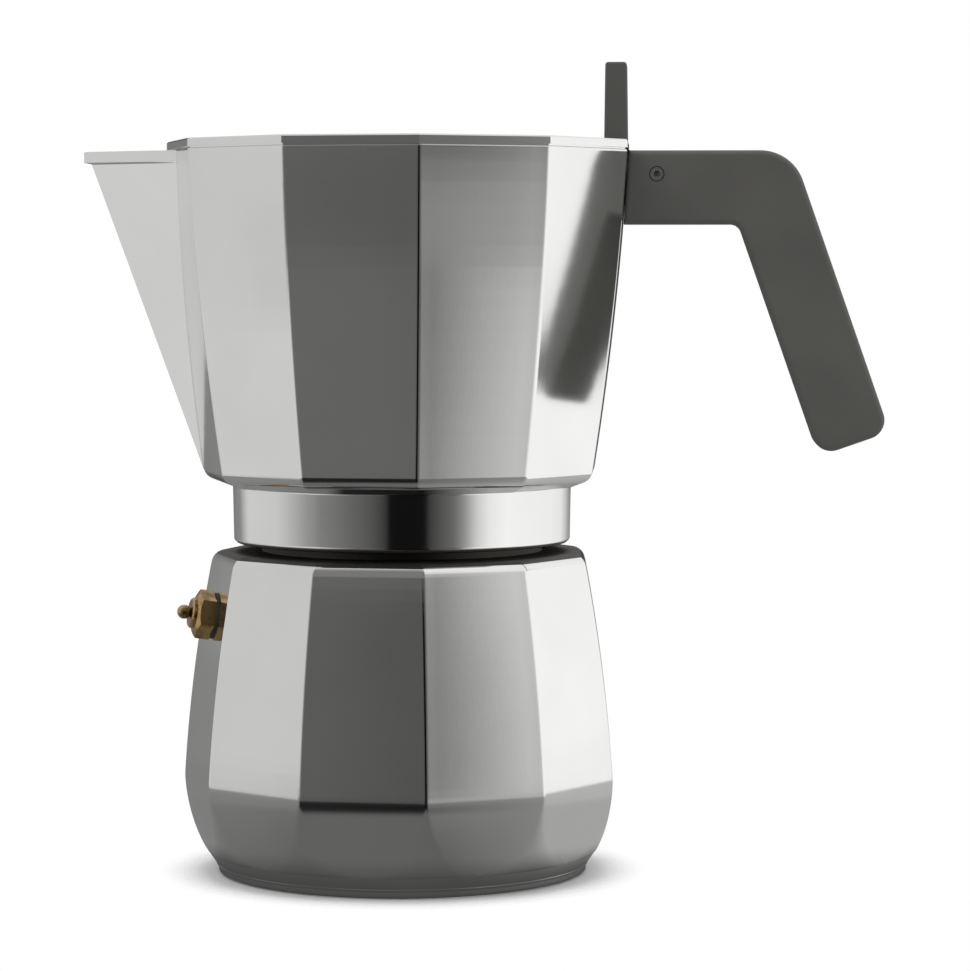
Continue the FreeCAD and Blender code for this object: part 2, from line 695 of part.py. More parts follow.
# ---------------------------------------------------------------- vessel
def wedge(name, tip_x, half_angle, low, high, foot_tip_x):
    """V-shaped solid between two heights; its flats keep one direction all the way up.

    tip_x and foot_tip_x are how far out the ridge stands at the top and at the bottom.
    """
    body = new_body(name)
    sketches = []
    for label, tip, z in (("low", foot_tip_x, low), ("high", tip_x, high)):
        back = "rim_a / 2"
        half = f"(({tip}) - {back}) * tan({half_angle})"
        corners = [(f"-({tip})", "0"), (f"-{back}", f"-({half})"), (f"-{back}", half)]
        sketches.append(outline(body, f"{name}_{label}", corners, "XY_Plane", z))
    loft = body.newObject("PartDesign::AdditiveLoft", f"{name}_loft")
    loft.Profile = sketches[0]
    loft.Sections = [sketches[1]]
    loft.Ruled = True
    body.Tip = loft
    return body


def spout_line(z):
    """How far out the spout's ridge stands at a height."""
    slope = "(spout_tip_x - spout_foot_x) / (rim_z - spout_foot_z)"
    return f"(spout_foot_x + ({z} - spout_foot_z) * {slope})"


def make_vessel_shell():
    """Outer form of the vessel: flats, underside and collar, before it is hollowed."""
    body = new_body("vessel_casting")
    blank = [("0", "collar_low_z"),
             ("collar_r - collar_taper - collar_chamfer", "collar_low_z"),
             ("collar_r - collar_taper", "collar_low_z + collar_chamfer"),
             ("collar_r", "collar_top_z"), ("rim_a + spare", "collar_top_z"),
             ("rim_a + spare", "rim_z"), ("0", "rim_z")]
    revolve(body, outline(body, "vessel_blank", blank))
    bend = ("vessel_low_a - vessel_bend_in", "vessel_low_z - vessel_bend_down", "vessel_bend_r")
    flank = [("collar_r + collar_step", "collar_top_z"), bend,
             ("vessel_low_a", "vessel_low_z", "vessel_flank_r"), ("rim_a", "rim_z")]
    faceted(body, "vessel", flank, "rim_a")
    recess_z = "funnel_rim_z + seal_recess_up"
    hollow = [("0", "collar_low_z - through"), ("collar_bore_r", "collar_low_z - through"),
              ("collar_bore_r", recess_z), ("seal_recess_r", recess_z),
              ("seal_recess_r", "seal_seat_z"), ("chamber_r", "seal_seat_z"),
              ("chamber_r - chamber_taper", "chamber_top_z"),
              ("column_shank_r", "chamber_top_z"),
              ("column_shank_r", "floor_z + through"), ("0", "floor_z + through")]
    revolve(body, outline(body, "collar_inside", hollow), "Groove")
    return body


def make_vessel_core():
    """Space inside the vessel: the same flats, one wall thickness in."""
    body = new_body("vessel_core")
    top = "rim_z + through"
    blank = [("0", "floor_z"), ("rim_a + spare", "floor_z"), ("rim_a + spare", top), ("0", top)]
    revolve(body, outline(body, "core_blank", blank))
    low_z = "floor_z + floor_bend"
    low_a = vessel_at(f"({low_z})", "vessel_wall")
    flank = [(f"{low_a} - floor_bend", "floor_z", "floor_bend_r"),
             (low_a, low_z, "vessel_flank_r - vessel_wall"),
             (vessel_at(f"({top})", "vessel_wall"), top)]
    faceted(body, "core", flank, "rim_a")
    return body


def hinge_point(y="0"):
    """Point on the lid's hinge axis."""
    return Vector(value("hinge_x"), value(y), value("hinge_z"))


def hinge_bore(name, radius):
    """Round cutter along the hinge axis, longer than the handle is thick."""
    start = hinge_point("-handle_thick")
    return cylinder(name, radius, "2 * handle_thick", start, Vector(0, 1, 0))


def make_vessel():
    """Vessel with spout and hinge lug, hollowed and drilled."""
    lip_low = "rim_z - lip_tall"
    spout = wedge("spout", "spout_tip_x", "spout_half_angle", "spout_foot_z", "rim_z",
                  "spout_foot_x")
    lip = wedge("spout_lip", "lip_tip_x", "lip_half_angle", lip_low, "rim_z", "lip_tip_x")
    inset = "spout_wall / sin(spout_half_angle)"
    channel = wedge("spout_channel", f"{spout_line('(rim_z + through)')} - {inset}",
                    "spout_half_angle", "spout_mouth_z", "rim_z + through",
                    f"{spout_line('spout_mouth_z')} - {inset}")
    inside = vessel_at("rim_z", "vessel_wall")
    lug = block("lug_block",
                (f"{inside} + lug_root", "-ear_half", "hinge_z - ear_r - ear_below"),
                ("hinge_x", "ear_half", "hinge_z + ear_r"))
    ear = cylinder("lug_round", "ear_r", "2 * ear_half", hinge_point("-ear_half"), Vector(0, 1, 0))
    outside = joined("vessel_outside", make_vessel_shell(), spout, lip, lug, ear)
    open_end = ("hinge_x + ear_r + through", "gap_half", "rim_z + through")
    notch = block("tongue_gap", (f"{inside} - vessel_wall", "-gap_half", "hinge_z - notch_down"),
                  open_end)
    fork = block("fork_gap", ("rim_a", "-gap_half", "hinge_z - ear_r - seat_gap"), open_end)
    NODES["upper_vessel"] = cut("upper_vessel", outside, make_vessel_core(), channel,
                                notch, fork, hinge_bore("lug_bore", "pin_r"))


def make_column():
    """Coffee column pressed into the vessel's floor, with two outlets and a cap."""
    flange_z = "floor_z + column_flange_thick"
    column = turned("column_tube", [
        ("column_bore_r", "chamber_top_z"), ("column_shank_r", "chamber_top_z"),
        ("column_shank_r", "floor_z"), ("column_flange_r", "floor_z"),
        ("column_flange_r", flange_z), ("column_low_r", flange_z),
        ("column_top_r", "column_top_z"), ("column_bore_r", "column_top_z")])
    start = Vector(0, value("-column_flange_r"), value("column_top_z - outlet_down"))
    outlets = cylinder("column_outlets", "outlet_r", "2 * column_flange_r", start,
                       Vector(0, 1, 0))
    NODES["coffee_column"] = cut("coffee_column", column, outlets)
    NODES["column_cap"] = turned("column_cap", [
        ("0", "column_top_z - cap_spigot_tall"),
        ("column_bore_r", "column_top_z - cap_spigot_tall"),
        ("column_bore_r", "column_top_z"), ("cap_r", "column_top_z"),
        ("cap_r", "column_top_z + cap_skirt", "cap_dome_r"),
        ("0", "column_top_z + cap_tall")])


# ---------------------------------------------------------------- handle and lid
def make_handle():
    """Bent handle, open at its end for the vessel's lug and the lid's tongue."""
    body = new_body("handle_moulding")
    start_high = f"{vessel_at('rim_z')} + handle_seam"
    start_low = f"{vessel_at('arm_low_z')} + handle_seam"
    end_x = "(leg_x + leg_long * sin(leg_lean))"
    end_z = "(arm_low_z - leg_long * cos(leg_lean))"
    outer_x = "(leg_x + leg_wide / cos(leg_lean) - arm_tall * tan(leg_lean))"
    corners = [(start_low, "arm_low_z"), ("leg_x", "arm_low_z"), (end_x, end_z),
               (f"{end_x} + leg_wide * cos(leg_lean)", f"{end_z} + leg_wide * sin(leg_lean)"),
               (outer_x, "rim_z"), (start_high, "rim_z")]
    pad(body, outline(body, "handle_side", corners), "handle_thick", symmetric=True)
    places = [(value(x), value(z)) for x, z in corners]
    fillet(body, "outer_elbow_r", lambda edge: near(edge, x=places[4][0], z=places[4][1]))
    fillet(body, "inner_elbow_r", lambda edge: near(edge, x=places[1][0], z=places[1][1]))
    fillet(body, "leg_end_r", lambda edge: near(edge, x=places[2][0], z=places[2][1])
           or near(edge, x=places[3][0], z=places[3][1]))
    side = value("handle_thick / 2")
    fillet(body, "handle_edge_r",
           lambda edge: near(edge, y=side) or near(edge, y=-side))
    beside_ears = "ear_half + mortise_gap"
    mortise = block("mortise", ("rim_a - spare", f"-({beside_ears})",
                                "hinge_z - ear_r - ear_below - seat_gap"),
                    ("hinge_x + ear_r + seat_gap", beside_ears, "hinge_z + ear_r + seat_gap"))
    beside_tongue = "gap_half + mortise_gap"
    slot = block("tongue_slot", ("rim_a - spare", f"-({beside_tongue})",
                                 "hinge_z - ear_r - seat_gap"),
                 ("hinge_x + slot_reach", beside_tongue, "rim_z + through"))
    bore = hinge_bore("handle_bore", "pin_r")
    ring = cylinder("pin_ring", "pin_ring_r", "handle_thick",
                    hinge_point("pin_ring_deep - 1.5 * handle_thick"), Vector(0, 1, 0))
    NODES["handle"] = cut("handle", body, mortise, slot, bore, ring)


def make_hinge_pin():
    """Pin through the handle's cheeks, the vessel's ears and the lid's tongue."""
    rod = cylinder("pin_rod", "pin_r", "handle_thick - 2 * pin_recess",
                   hinge_point("pin_recess - handle_thick / 2"), Vector(0, 1, 0))
    socket = doc.addObject("Part::Prism", "pin_socket")
    bind(socket, "Polygon", "6")
    bind(socket, "Circumradius", "socket_r")
    bind(socket, "Height", "socket_deep + through")
    mouth = hinge_point("pin_recess - handle_thick / 2 - through")
    socket.Placement = Placement(mouth, Rotation(UP, Vector(0, 1, 0)))
    NODES["hinge_pin"] = cut("hinge_pin", rod, socket)


def make_lid():
    """Flat lid with a locating lip below and a tongue out to the hinge."""
    plate = prism("lid_plate", "lid_a", "rim_z + lid_step", "lid_top_z")
    doc.recompute()
    edges = [(index, value("lid_edge"), value("lid_edge"))
             for index, edge in enumerate(plate.Shape.Edges, start=1)
             if near(edge, z=value("lid_top_z"))]
    top = doc.addObject("Part::Chamfer", "lid_top")
    top.Base = plate
    top.Edges = edges
    step = prism("lid_underside", "lid_a - lid_step_in", "rim_z", "lid_joint_z")
    lip_a = f"{vessel_at('rim_z', 'vessel_wall')} - lid_lip_gap"
    lip_low = "rim_z - lid_lip_tall"
    below = f"{lip_low} - through"
    lip = cut("lid_lip", prism("lip_outer", lip_a, lip_low, "lid_joint_z"),
              prism("lip_inner", f"{lip_a} - lid_lip_thick", below, "rim_z"),
              block("lip_relief", ("rim_a - lid_lip_back", "-rim_a", below),
                    ("rim_a + spare", "rim_a", "rim_z")))
    body = new_body("lid_tongue")
    root = "lid_a - knob_thick - knob_in"
    tongue = outline(body, "tongue_side", [
        ("hinge_x + tongue_r * cos(tongue_low_angle)",
         "hinge_z + tongue_r * sin(tongue_low_angle)"),
        ("hinge_x + tongue_r * cos(tongue_high_angle)",
         "hinge_z + tongue_r * sin(tongue_high_angle)"),
        ("lid_a - lid_step_in", "lid_joint_z"), (root, "lid_joint_z"), (root, "rim_z")])
    pad(body, tongue, "tongue_wide", symmetric=True)
    barrel = cylinder("tongue_barrel", "tongue_r", "tongue_wide",
                      hinge_point("-tongue_wide / 2"), Vector(0, 1, 0))
    solid = joined("lid_solid", top, step, lip, body, barrel)
    NODES["lid"] = cut("lid", solid, hinge_bore("tongue_bore", "pin_r + fit_gap"),
                       *screw_spaces("lid"))


def screw_places():
    """Sideways places of the two knob screws."""
    return ("screw_apart / 2", "-screw_apart / 2")


def screw_spaces(owner):
    """Screw-shaped bodies where the knob's screws sit, heads down."""
    profile = [("0", "0"), ("screw_head_r", "0"), ("screw_r", "screw_head_tall"),
               ("screw_r", "screw_long"), ("0", "screw_long")]
    x = value("lid_a - knob_in - knob_thick / 2")
    spaces = []
    for index, y in enumerate(screw_places(), start=1):
        place = Placement(Vector(x, value(y), value("rim_z")), Rotation())
        spaces.append(turned(f"{owner}_screw_{index}", profile, place))
    return spaces


def make_knob():
    """Upright fin on the lid and the two screws that hold it from below."""
    body = new_body("knob_moulding")
    outer = "lid_a - knob_in"
    inner = f"{outer} - knob_thick"
    top_z = "lid_top_z + knob_tall"
    side = [(inner, "lid_top_z"), (outer, "lid_top_z"),
            (f"{outer} - knob_taper / 2", top_z), (f"{inner} + knob_taper / 2", top_z)]
    pad(body, outline(body, "knob_side", side), "handle_thick", symmetric=True)
    top = value(top_z)
    fillet(body, "knob_r", lambda edge: near(edge, z=top, y=0))
    half = value("handle_thick / 2")
    low = value("lid_top_z")
    fillet(body, "knob_edge_r", lambda edge: edge.CenterOfMass.z > low + TOLERANCE
           and (near(edge, y=half) or near(edge, y=-half)))
    NODES["lid_knob"] = cut("lid_knob", body, *screw_spaces("knob"))
    sockets = []
    for index, space in enumerate(screw_spaces("fixing"), start=1):
        socket = doc.addObject("Part::Prism", f"fixing_socket_{index}")
        bind(socket, "Polygon", "6")
        bind(socket, "Circumradius", "socket_r")
        bind(socket, "Height", "socket_deep + through")
        mouth = space.Placement.Base - Vector(0, 0, value("through"))
        socket.Placement = Placement(mouth, Rotation())
        sockets.append(cut(f"knob_screw_{index}", space, socket))
    group = doc.addObject("Part::Compound", "knob_screws")
    group.Links = sockets
    NODES["knob_screws"] = group


# ---------------------------------------------------------------- checks and files
def check_document():
    """Stop on any object that failed, and on any node that is not a sound solid."""
    for thing in doc.Objects:
        if "Invalid" in thing.State or "Error" in thing.State:
            raise RuntimeError(f"{thing.Name} failed: {thing.State}")
    for name, thing in NODES.items():
        shape = thing.Shape
        if shape.isNull() or not shape.isValid() or not shape.Solids:
            raise RuntimeError(f"{name} is not a valid solid")


def export_nodes():
    """Write each node to parts/NAME.step."""
    os.makedirs("parts", exist_ok=True)
    for name, thing in NODES.items():
        thing.Label = name
        thing.Shape.exportStep(f"parts/{name}.step")
        box = thing.Shape.BoundBox
        print(f"{name:16s} solids {len(thing.Shape.Solids)} volume {thing.Shape.Volume:10.1f} "
              f"x {box.XMin:.1f} {box.XMax:.1f} y {box.YMin:.1f} {box.YMax:.1f} "
              f"z {box.ZMin:.1f} {box.ZMax:.1f}")


fill_sheet()
make_boiler()
make_valve()
make_funnel()
make_seal()
make_vessel()
make_column()
make_handle()
make_hinge_pin()
make_lid()
make_knob()
doc.recompute()
check_document()
export_nodes()
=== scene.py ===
"""Looks of a stovetop coffee maker: finishes, fine shapes, studio and camera.

Metres throughout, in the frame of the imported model: +Z is up, +X points along the handle
and -X along the spout, and the origin is under the pot, on its axis.
"""
import logging
import math
from dataclasses import dataclass, field
from enum import Enum

import bpy
import numpy as np
from mathutils import Matrix, Vector


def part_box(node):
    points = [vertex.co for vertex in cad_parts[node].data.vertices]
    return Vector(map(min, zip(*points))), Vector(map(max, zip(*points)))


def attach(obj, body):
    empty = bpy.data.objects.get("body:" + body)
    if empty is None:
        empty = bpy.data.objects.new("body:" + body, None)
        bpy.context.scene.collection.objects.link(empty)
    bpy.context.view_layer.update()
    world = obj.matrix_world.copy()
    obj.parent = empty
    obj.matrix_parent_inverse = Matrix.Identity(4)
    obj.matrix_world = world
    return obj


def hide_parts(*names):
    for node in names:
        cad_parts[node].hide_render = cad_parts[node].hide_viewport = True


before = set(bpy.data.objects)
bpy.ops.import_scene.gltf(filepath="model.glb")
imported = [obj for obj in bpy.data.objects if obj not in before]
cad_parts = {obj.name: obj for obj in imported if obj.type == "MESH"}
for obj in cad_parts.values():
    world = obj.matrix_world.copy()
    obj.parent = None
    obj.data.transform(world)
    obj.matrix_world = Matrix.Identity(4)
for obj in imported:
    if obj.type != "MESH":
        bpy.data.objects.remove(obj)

MM = 0.001
FACETS = 11
TINY = 0.0001
CROWN_FROM, CROWN_FULL = 18, 24
LOG = logging.getLogger("moka_pot")
Colour = tuple[float, float, float]
Place = tuple[float, float, float]
Pair = tuple[float, float]
Tones = tuple[Pair, ...]
Corners = tuple[Place, ...]
Tree, Node, Socket = bpy.types.NodeTree, bpy.types.Node, bpy.types.NodeSocket
Material, Thing, Mesh = bpy.types.Material, bpy.types.Object, bpy.types.Mesh
Array = np.ndarray


def mean_grey(tone: float) -> float:
    """Linear light of a screen tone.

    Formula: the screen's transfer curve, ((t + 0.055) / 1.055) ^ 2.4 above its short toe.

    Args:
        tone: brightness on the screen, 0 to 255.

    Returns:
        The same brightness as linear light, 0 to 1.
    """
    t = tone / 255
    return t / 12.92 if t <= 0.04045 else ((t + 0.055) / 1.055) ** 2.4


# ---- node graphs
def add_node(tree: Tree, kind: str, inputs: dict | None = None, **settings: object) -> Node:
    """Add one node, set it up and wire its inputs.

    Args:
        tree: the graph that gets the node.
        kind: the node's class name after ShaderNode.
        inputs: input name or index to a value, or to the output socket that feeds it.
        settings: the node's own properties.

    Returns:
        The new node.
    """
    made = tree.nodes.new(f"ShaderNode{kind}")
    for name, value in settings.items():
        setattr(made, name, value)
    for key, value in (inputs or {}).items():
        if isinstance(value, Socket):
            tree.links.new(value, made.inputs[key])
        else:
            made.inputs[key].default_value = value
    return made


def arithmetic(tree: Tree, operation: str, *values: object) -> Socket:
    """Output of a Math node with the given numbers or sockets as inputs."""
    return add_node(tree, "Math", dict(enumerate(values)), operation=operation).outputs[0]


def eased(tree: Tree, value: Socket, start: float, end: float) -> Socket:
    """Share from 0 to 1 that grows softly while a value goes from start to end."""
    return add_node(tree, "MapRange", {"Value": value, "From Min": start, "From Max": end},
                    interpolation_type="SMOOTHSTEP").outputs["Result"]


def distance_from_axis(tree: Tree, parts: object) -> Socket:
    """Distance from Z, sqrt(x^2 + y^2), of a place given as its separate parts."""
    squares = [arithmetic(tree, "MULTIPLY", parts[i], parts[i]) for i in (0, 1)]
    return arithmetic(tree, "SQRT", arithmetic(tree, "ADD", *squares))


def blank_material(name: str) -> tuple[Material, Tree, Socket]:
    """A new material, its emptied graph and the surface's own coordinates."""
    material = bpy.data.materials.new(name)
    material.use_nodes = True
    material.node_tree.nodes.clear()
    place = add_node(material.node_tree, "TexCoord").outputs["Object"]
    return material, material.node_tree, place


def new_object(name: str, data: bpy.types.ID) -> Thing:
    """A new object in the scene."""
    thing = bpy.data.objects.new(name, data)
    bpy.context.scene.collection.objects.link(thing)
    return thing


def ramp(tree: Tree, factor: Socket, stops: list[tuple[float, Colour]]) -> Socket:
    """Colour output of a ramp with the given (place, colour) stops."""
    made = add_node(tree, "ValToRGB", {"Fac": factor})
    elements = made.color_ramp.elements
    while len(elements) < len(stops):
        elements.new(1.0)
    for element, (place, colour) in zip(elements, stops):
        element.position = place
        element.color = (*colour, 1.0)
    return made.outputs["Color"]


def new_group(name: str, inputs: dict[str, float | tuple], outputs: dict[str, str]
              ) -> tuple[Tree, Node, Node]:
    """An empty shader node group.

    Args:
        name: the group's name.
        inputs: name to default; a number makes a float socket, a triple a vector one.
        outputs: name to socket type.

    Returns:
        The group, its input node and its output node.
    """
    group = bpy.data.node_groups.new(name, "ShaderNodeTree")
    for label, default in inputs.items():
        kind = "NodeSocketFloat" if isinstance(default, (int, float)) else "NodeSocketVector"
        socket = group.interface.new_socket(label, in_out="INPUT", socket_type=kind)
        socket.default_value = default
    for label, kind in outputs.items():
        group.interface.new_socket(label, in_out="OUTPUT", socket_type=kind)
    return group, group.nodes.new("NodeGroupInput"), group.nodes.new("NodeGroupOutput")


class Lay(Enum):
    """Which way a surface's fine polishing marks run."""

    UPRIGHT = "upright"
    TURNED = "turned"
    SMOOTH = "smooth"


class Effects:
    """Node groups that several finishes share, each built once."""

    def __init__(self) -> None:
        self.built: dict[str, Tree] = {}

    def get(self, name: str) -> Tree:
        """The named group, built on first use."""
        if name not in self.built:
            self.built[name] = getattr(self, f"build_{name}")()
        return self.built[name]

    def use(self, tree: Tree, name: str, **inputs: object) -> Node:
        """Add the named group to a graph, with the given inputs."""
        return add_node(tree, "Group", inputs, node_tree=self.get(name))

    def build_marks(self) -> Tree:
        """Fine polishing marks: noise drawn out along the direction of small Stretch.

        Formula: noise(p * stretch * scale), two octaves apart, averaged.
        """
        tree, given, result = new_group(
            "polishing_marks", {"Vector": (0, 0, 0), "Stretch": (1, 1, 1), "Scale": 1000.0},
            {"Marks": "NodeSocketFloat"})
        drawn = add_node(tree, "VectorMath",
                         {0: given.outputs["Vector"], 1: given.outputs["Stretch"]},
                         operation="MULTIPLY").outputs[0]
        layers = []
        for share in (1.0, 0.23):
            scale = arithmetic(tree, "MULTIPLY", given.outputs["Scale"], share)
            noise = add_node(tree, "TexNoise", {"Vector": drawn, "Scale": scale,
                                                          "Detail": 3.0, "Roughness": 0.6})
            layers.append(noise.outputs["Fac"])
        both = arithmetic(tree, "ADD", *layers)
        tree.links.new(arithmetic(tree, "MULTIPLY", both, 0.5), result.inputs["Marks"])
        return tree

    def build_mottle(self) -> Tree:
        """Broad soft patches over a fine grain, both from 0 to 1."""
        tree, given, result = new_group(
            "mottle", {"Vector": (0, 0, 0), "Patch": 40.0, "Grain": 900.0},
            {"Patches": "NodeSocketFloat", "Grains": "NodeSocketFloat"})
        for label, source, detail in (("Patches", "Patch", 2.0), ("Grains", "Grain", 4.0)):
            noise = add_node(tree, "TexNoise", {
                "Vector": given.outputs["Vector"], "Scale": given.outputs[source],
                "Detail": detail})
            tree.links.new(noise.outputs["Fac"], result.inputs[label])
        return tree

    def build_turning(self) -> Tree:
        """Coordinates of a turned surface: radius, height and a slow turn about Z."""
        tree, given, result = new_group("turning", {"Vector": (0, 0, 0)},
                                        {"Turned": "NodeSocketVector"})
        parts = add_node(tree, "SeparateXYZ", {0: given.outputs["Vector"]}).outputs
        radius = distance_from_axis(tree, parts)
        angle = arithmetic(tree, "ARCTAN2", parts[1], parts[0])
        slow = arithmetic(tree, "MULTIPLY", angle, 0.0006)
        joined = add_node(tree, "CombineXYZ", {0: radius, 1: slow, 2: parts[2]})
        tree.links.new(joined.outputs[0], result.inputs["Turned"])
        return tree


EFFECTS = Effects()


# ---- finishes
@dataclass(frozen=True)
class Finish:
    """A surface finish; build() turns it into a material."""

    name: str
    colour: Colour
    roughness: float

    def start(self) -> tuple[Tree, Node, Socket]:
        """Begin the material: its graph, its Principled shader and its own coordinates."""
        material = bpy.data.materials.new(self.name)
        material.use_nodes = True
        tree = material.node_tree
        shader = tree.nodes["Principled BSDF"]
        shader.inputs["Base Color"].default_value = (*self.colour, 1.0)
        shader.inputs["Roughness"].default_value = self.roughness
        return tree, shader, add_node(tree, "TexCoord").outputs["Object"]

    def vary(self, tree: Tree, shader: Node, socket: str,
             mask: Socket, low: float, high: float) -> None:
        """Drive one shader input from a 0 to 1 mask between two values."""
        spread = add_node(tree, "MapRange", {"Value": mask, "To Min": low, "To Max": high})
        tree.links.new(spread.outputs["Result"], shader.inputs[socket])

    def shade(self, tree: Tree, shader: Node, mask: Socket, dark: float, light: float) -> None:
        """Let the base colour drift between two multiples of itself."""
        stops = [(0.3, tuple(c * dark for c in self.colour)),
                 (0.7, tuple(min(1.0, c * light) for c in self.colour))]
        tree.links.new(ramp(tree, mask, stops), shader.inputs["Base Color"])

    def raise_surface(self, tree: Tree, shader: Node,
                      height: Socket, depth: float, strength: float) -> None:
        """Bump the surface by a 0 to 1 height map.

        Args:
            tree: the material's graph.
            shader: its Principled shader.
            height: the map.
            depth: height in metres between 0 and 1.
            strength: share of the bump that shows.
        """
        bump = add_node(tree, "Bump", {"Height": height, "Distance": depth, "Strength": strength})
        tree.links.new(bump.outputs["Normal"], shader.inputs["Normal"])

    def build(self) -> Material:
        """The material."""
        raise NotImplementedError


@dataclass(frozen=True)
class Aluminium(Finish):
    """Bare aluminium, polished along one direction."""

    lay: Lay = Lay.UPRIGHT
    spread: float = 0.05
    marks_scale: float = 2600.0
    marks_depth: float = 0.000004
    marks_strength: float = 0.6
    marks_share: float = 0.6
    marks_drawn: float = 0.03
    tones: Pair = (0.97, 1.02)

    def build(self) -> Material:
        """Metal whose gloss drifts in broad patches, with fine marks along its lay."""
        tree, shader, place = self.start()
        shader.inputs["Metallic"].default_value = 1.0
        drawn = self.marks_drawn if self.lay is Lay.UPRIGHT else 1
        along = place
        if self.lay is Lay.TURNED:
            along = EFFECTS.use(tree, "turning", Vector=place).outputs["Turned"]
        marks = EFFECTS.use(tree, "marks", Vector=along, Stretch=(1, 1, drawn),
                            Scale=self.marks_scale).outputs["Marks"]
        patches = EFFECTS.use(tree, "mottle", Vector=place).outputs["Patches"]
        gloss = arithmetic(tree, "MULTIPLY_ADD", marks, self.marks_share,
                           arithmetic(tree, "MULTIPLY", patches, 1 - self.marks_share))
        self.vary(tree, shader, "Roughness", gloss, self.roughness - self.spread,
                  self.roughness + self.spread)
        self.shade(tree, shader, patches, *self.tones)
        self.raise_surface(tree, shader, marks, self.marks_depth, self.marks_strength)
        return bpy.data.materials[self.name]


@dataclass(frozen=True)
class Brass(Finish):
    """Brass with brown tarnish in soft random patches."""

    dark: Colour = (0.10, 0.065, 0.03)
    patch: float = 260.0
    grain: float = 2500.0
    grain_share: float = 0.35
    grain_depth: float = 0.00002
    grain_strength: float = 0.3
    duller: float = 0.12
    glossier: float = 0.06

    def build(self) -> Material:
        """Metal that turns from brown tarnish to bright brass in soft patches."""
        tree, shader, place = self.start()
        shader.inputs["Metallic"].default_value = 1.0
        patches, grains = EFFECTS.use(tree, "mottle", Vector=place, Patch=self.patch,
                                      Grain=self.grain).outputs
        tarnish = arithmetic(tree, "MULTIPLY_ADD", grains, self.grain_share,
                             arithmetic(tree, "MULTIPLY", patches, 1 - self.grain_share))
        colours = ramp(tree, tarnish, [(0.3, self.dark), (0.5, self.colour)])
        tree.links.new(colours, shader.inputs["Base Color"])
        self.vary(tree, shader, "Roughness", tarnish, self.roughness + self.duller,
                  self.roughness - self.glossier)
        self.raise_surface(tree, shader, grains, self.grain_depth, self.grain_strength)
        return bpy.data.materials[self.name]


@dataclass(frozen=True)
class Moulded(Finish):
    """Matt moulded plastic, rubber or fibre with a fine even grain."""

    patch: float = 60.0
    grain: float = 1800.0
    grain_depth: float = 0.00002
    grain_strength: float = 0.5
    drift: float = 0.06
    spread: float = 0.08

    def build(self) -> Material:
        """Matt surface with a fine grain and a slight drift of tone."""
        tree, shader, place = self.start()
        patches, grains = EFFECTS.use(tree, "mottle", Vector=place, Patch=self.patch,
                                      Grain=self.grain).outputs
        self.shade(tree, shader, patches, 1 - self.drift, 1 + self.drift)
        self.vary(tree, shader, "Roughness", grains, self.roughness - self.spread,
                  self.roughness + self.spread)
        self.raise_surface(tree, shader, grains, self.grain_depth, self.grain_strength)
        return bpy.data.materials[self.name]


CAST = Aluminium("cast_aluminium_satin", (0.86, 0.86, 0.845), 0.1, spread=0.03)
COLLAR = Aluminium("turned_collar", (0.86, 0.86, 0.845), 0.09, Lay.TURNED, 0.03)
# painted shade: near-black finish for the boiler's shoulder top and the groove under the collar,
# where the collar's shade falls
SHADED_LEDGE = Aluminium("painted_shade_ledge", (0.10, 0.095, 0.085), 0.5, Lay.TURNED)
PIN = Aluminium("plated_pin", (0.5, 0.5, 0.48), 0.55, Lay.SMOOTH)
TURNED = Aluminium("turned_aluminium_bright", (0.86, 0.86, 0.85), 0.19, Lay.TURNED)
STEEL = Aluminium("brushed_steel", (0.62, 0.61, 0.59), 0.3, Lay.TURNED)
BRASS = Brass("aged_brass", (0.56, 0.375, 0.155), 0.2)
PLASTIC = Moulded("matt_grey_plastic", (0.095, 0.094, 0.087), 0.55)
RUBBER = Moulded("pale_rubber", (0.72, 0.70, 0.66), 0.6)
# dark fibre, darkened further as painted shade where the valve sits on the boiler's flat
FIBRE = Moulded("dark_fibre_painted_shade", (0.04, 0.034, 0.024), 0.7)


class Wardrobe:
    """Every finish's material, and which CAD nodes wear it."""

    worn_by: dict[Finish, tuple[str, ...]] = {
        CAST: ("boiler", "upper_vessel", "lid"),
        COLLAR: (),
        SHADED_LEDGE: (),
        PIN: ("hinge_pin",),
        TURNED: ("coffee_column", "column_cap", "funnel", "funnel_sieve", "filter_plate"),
        STEEL: ("base_plate", "knob_screws", "valve_spring"),
        BRASS: ("valve_body", "valve_seat", "valve_plunger"),
        PLASTIC: ("handle", "lid_knob"),
        RUBBER: ("gasket", "valve_seal"),
        FIBRE: ("valve_washer",),
    }

    def __init__(self) -> None:
        self.materials = {finish: finish.build() for finish in self.worn_by}

    def wear(self, thing: Thing, *finishes: Finish) -> None:
        """Give an object its materials, in slot order, and keep which face has which."""
        mesh = thing.data
        marks = np.zeros(len(mesh.polygons), dtype=np.int32)
        mesh.polygons.foreach_get("material_index", marks)
        mesh.materials.clear()
        for finish in finishes:
            mesh.materials.append(self.materials[finish])
        if len(finishes) > 1:
            mesh.polygons.foreach_set("material_index", marks)

    def dress_nodes(self) -> None:
        """Put each CAD node in its finish."""
        for finish, names in self.worn_by.items():
            for name in names:
                self.wear(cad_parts[name], finish)
                LOG.info("dressed %s in %s", name, finish.name)


# ---- studio
@dataclass(frozen=True)
class Lamp:
    """Soft square lamp: place and side in metres, power in watts."""

    name: str
    place: Place
    size: float
    watts: float


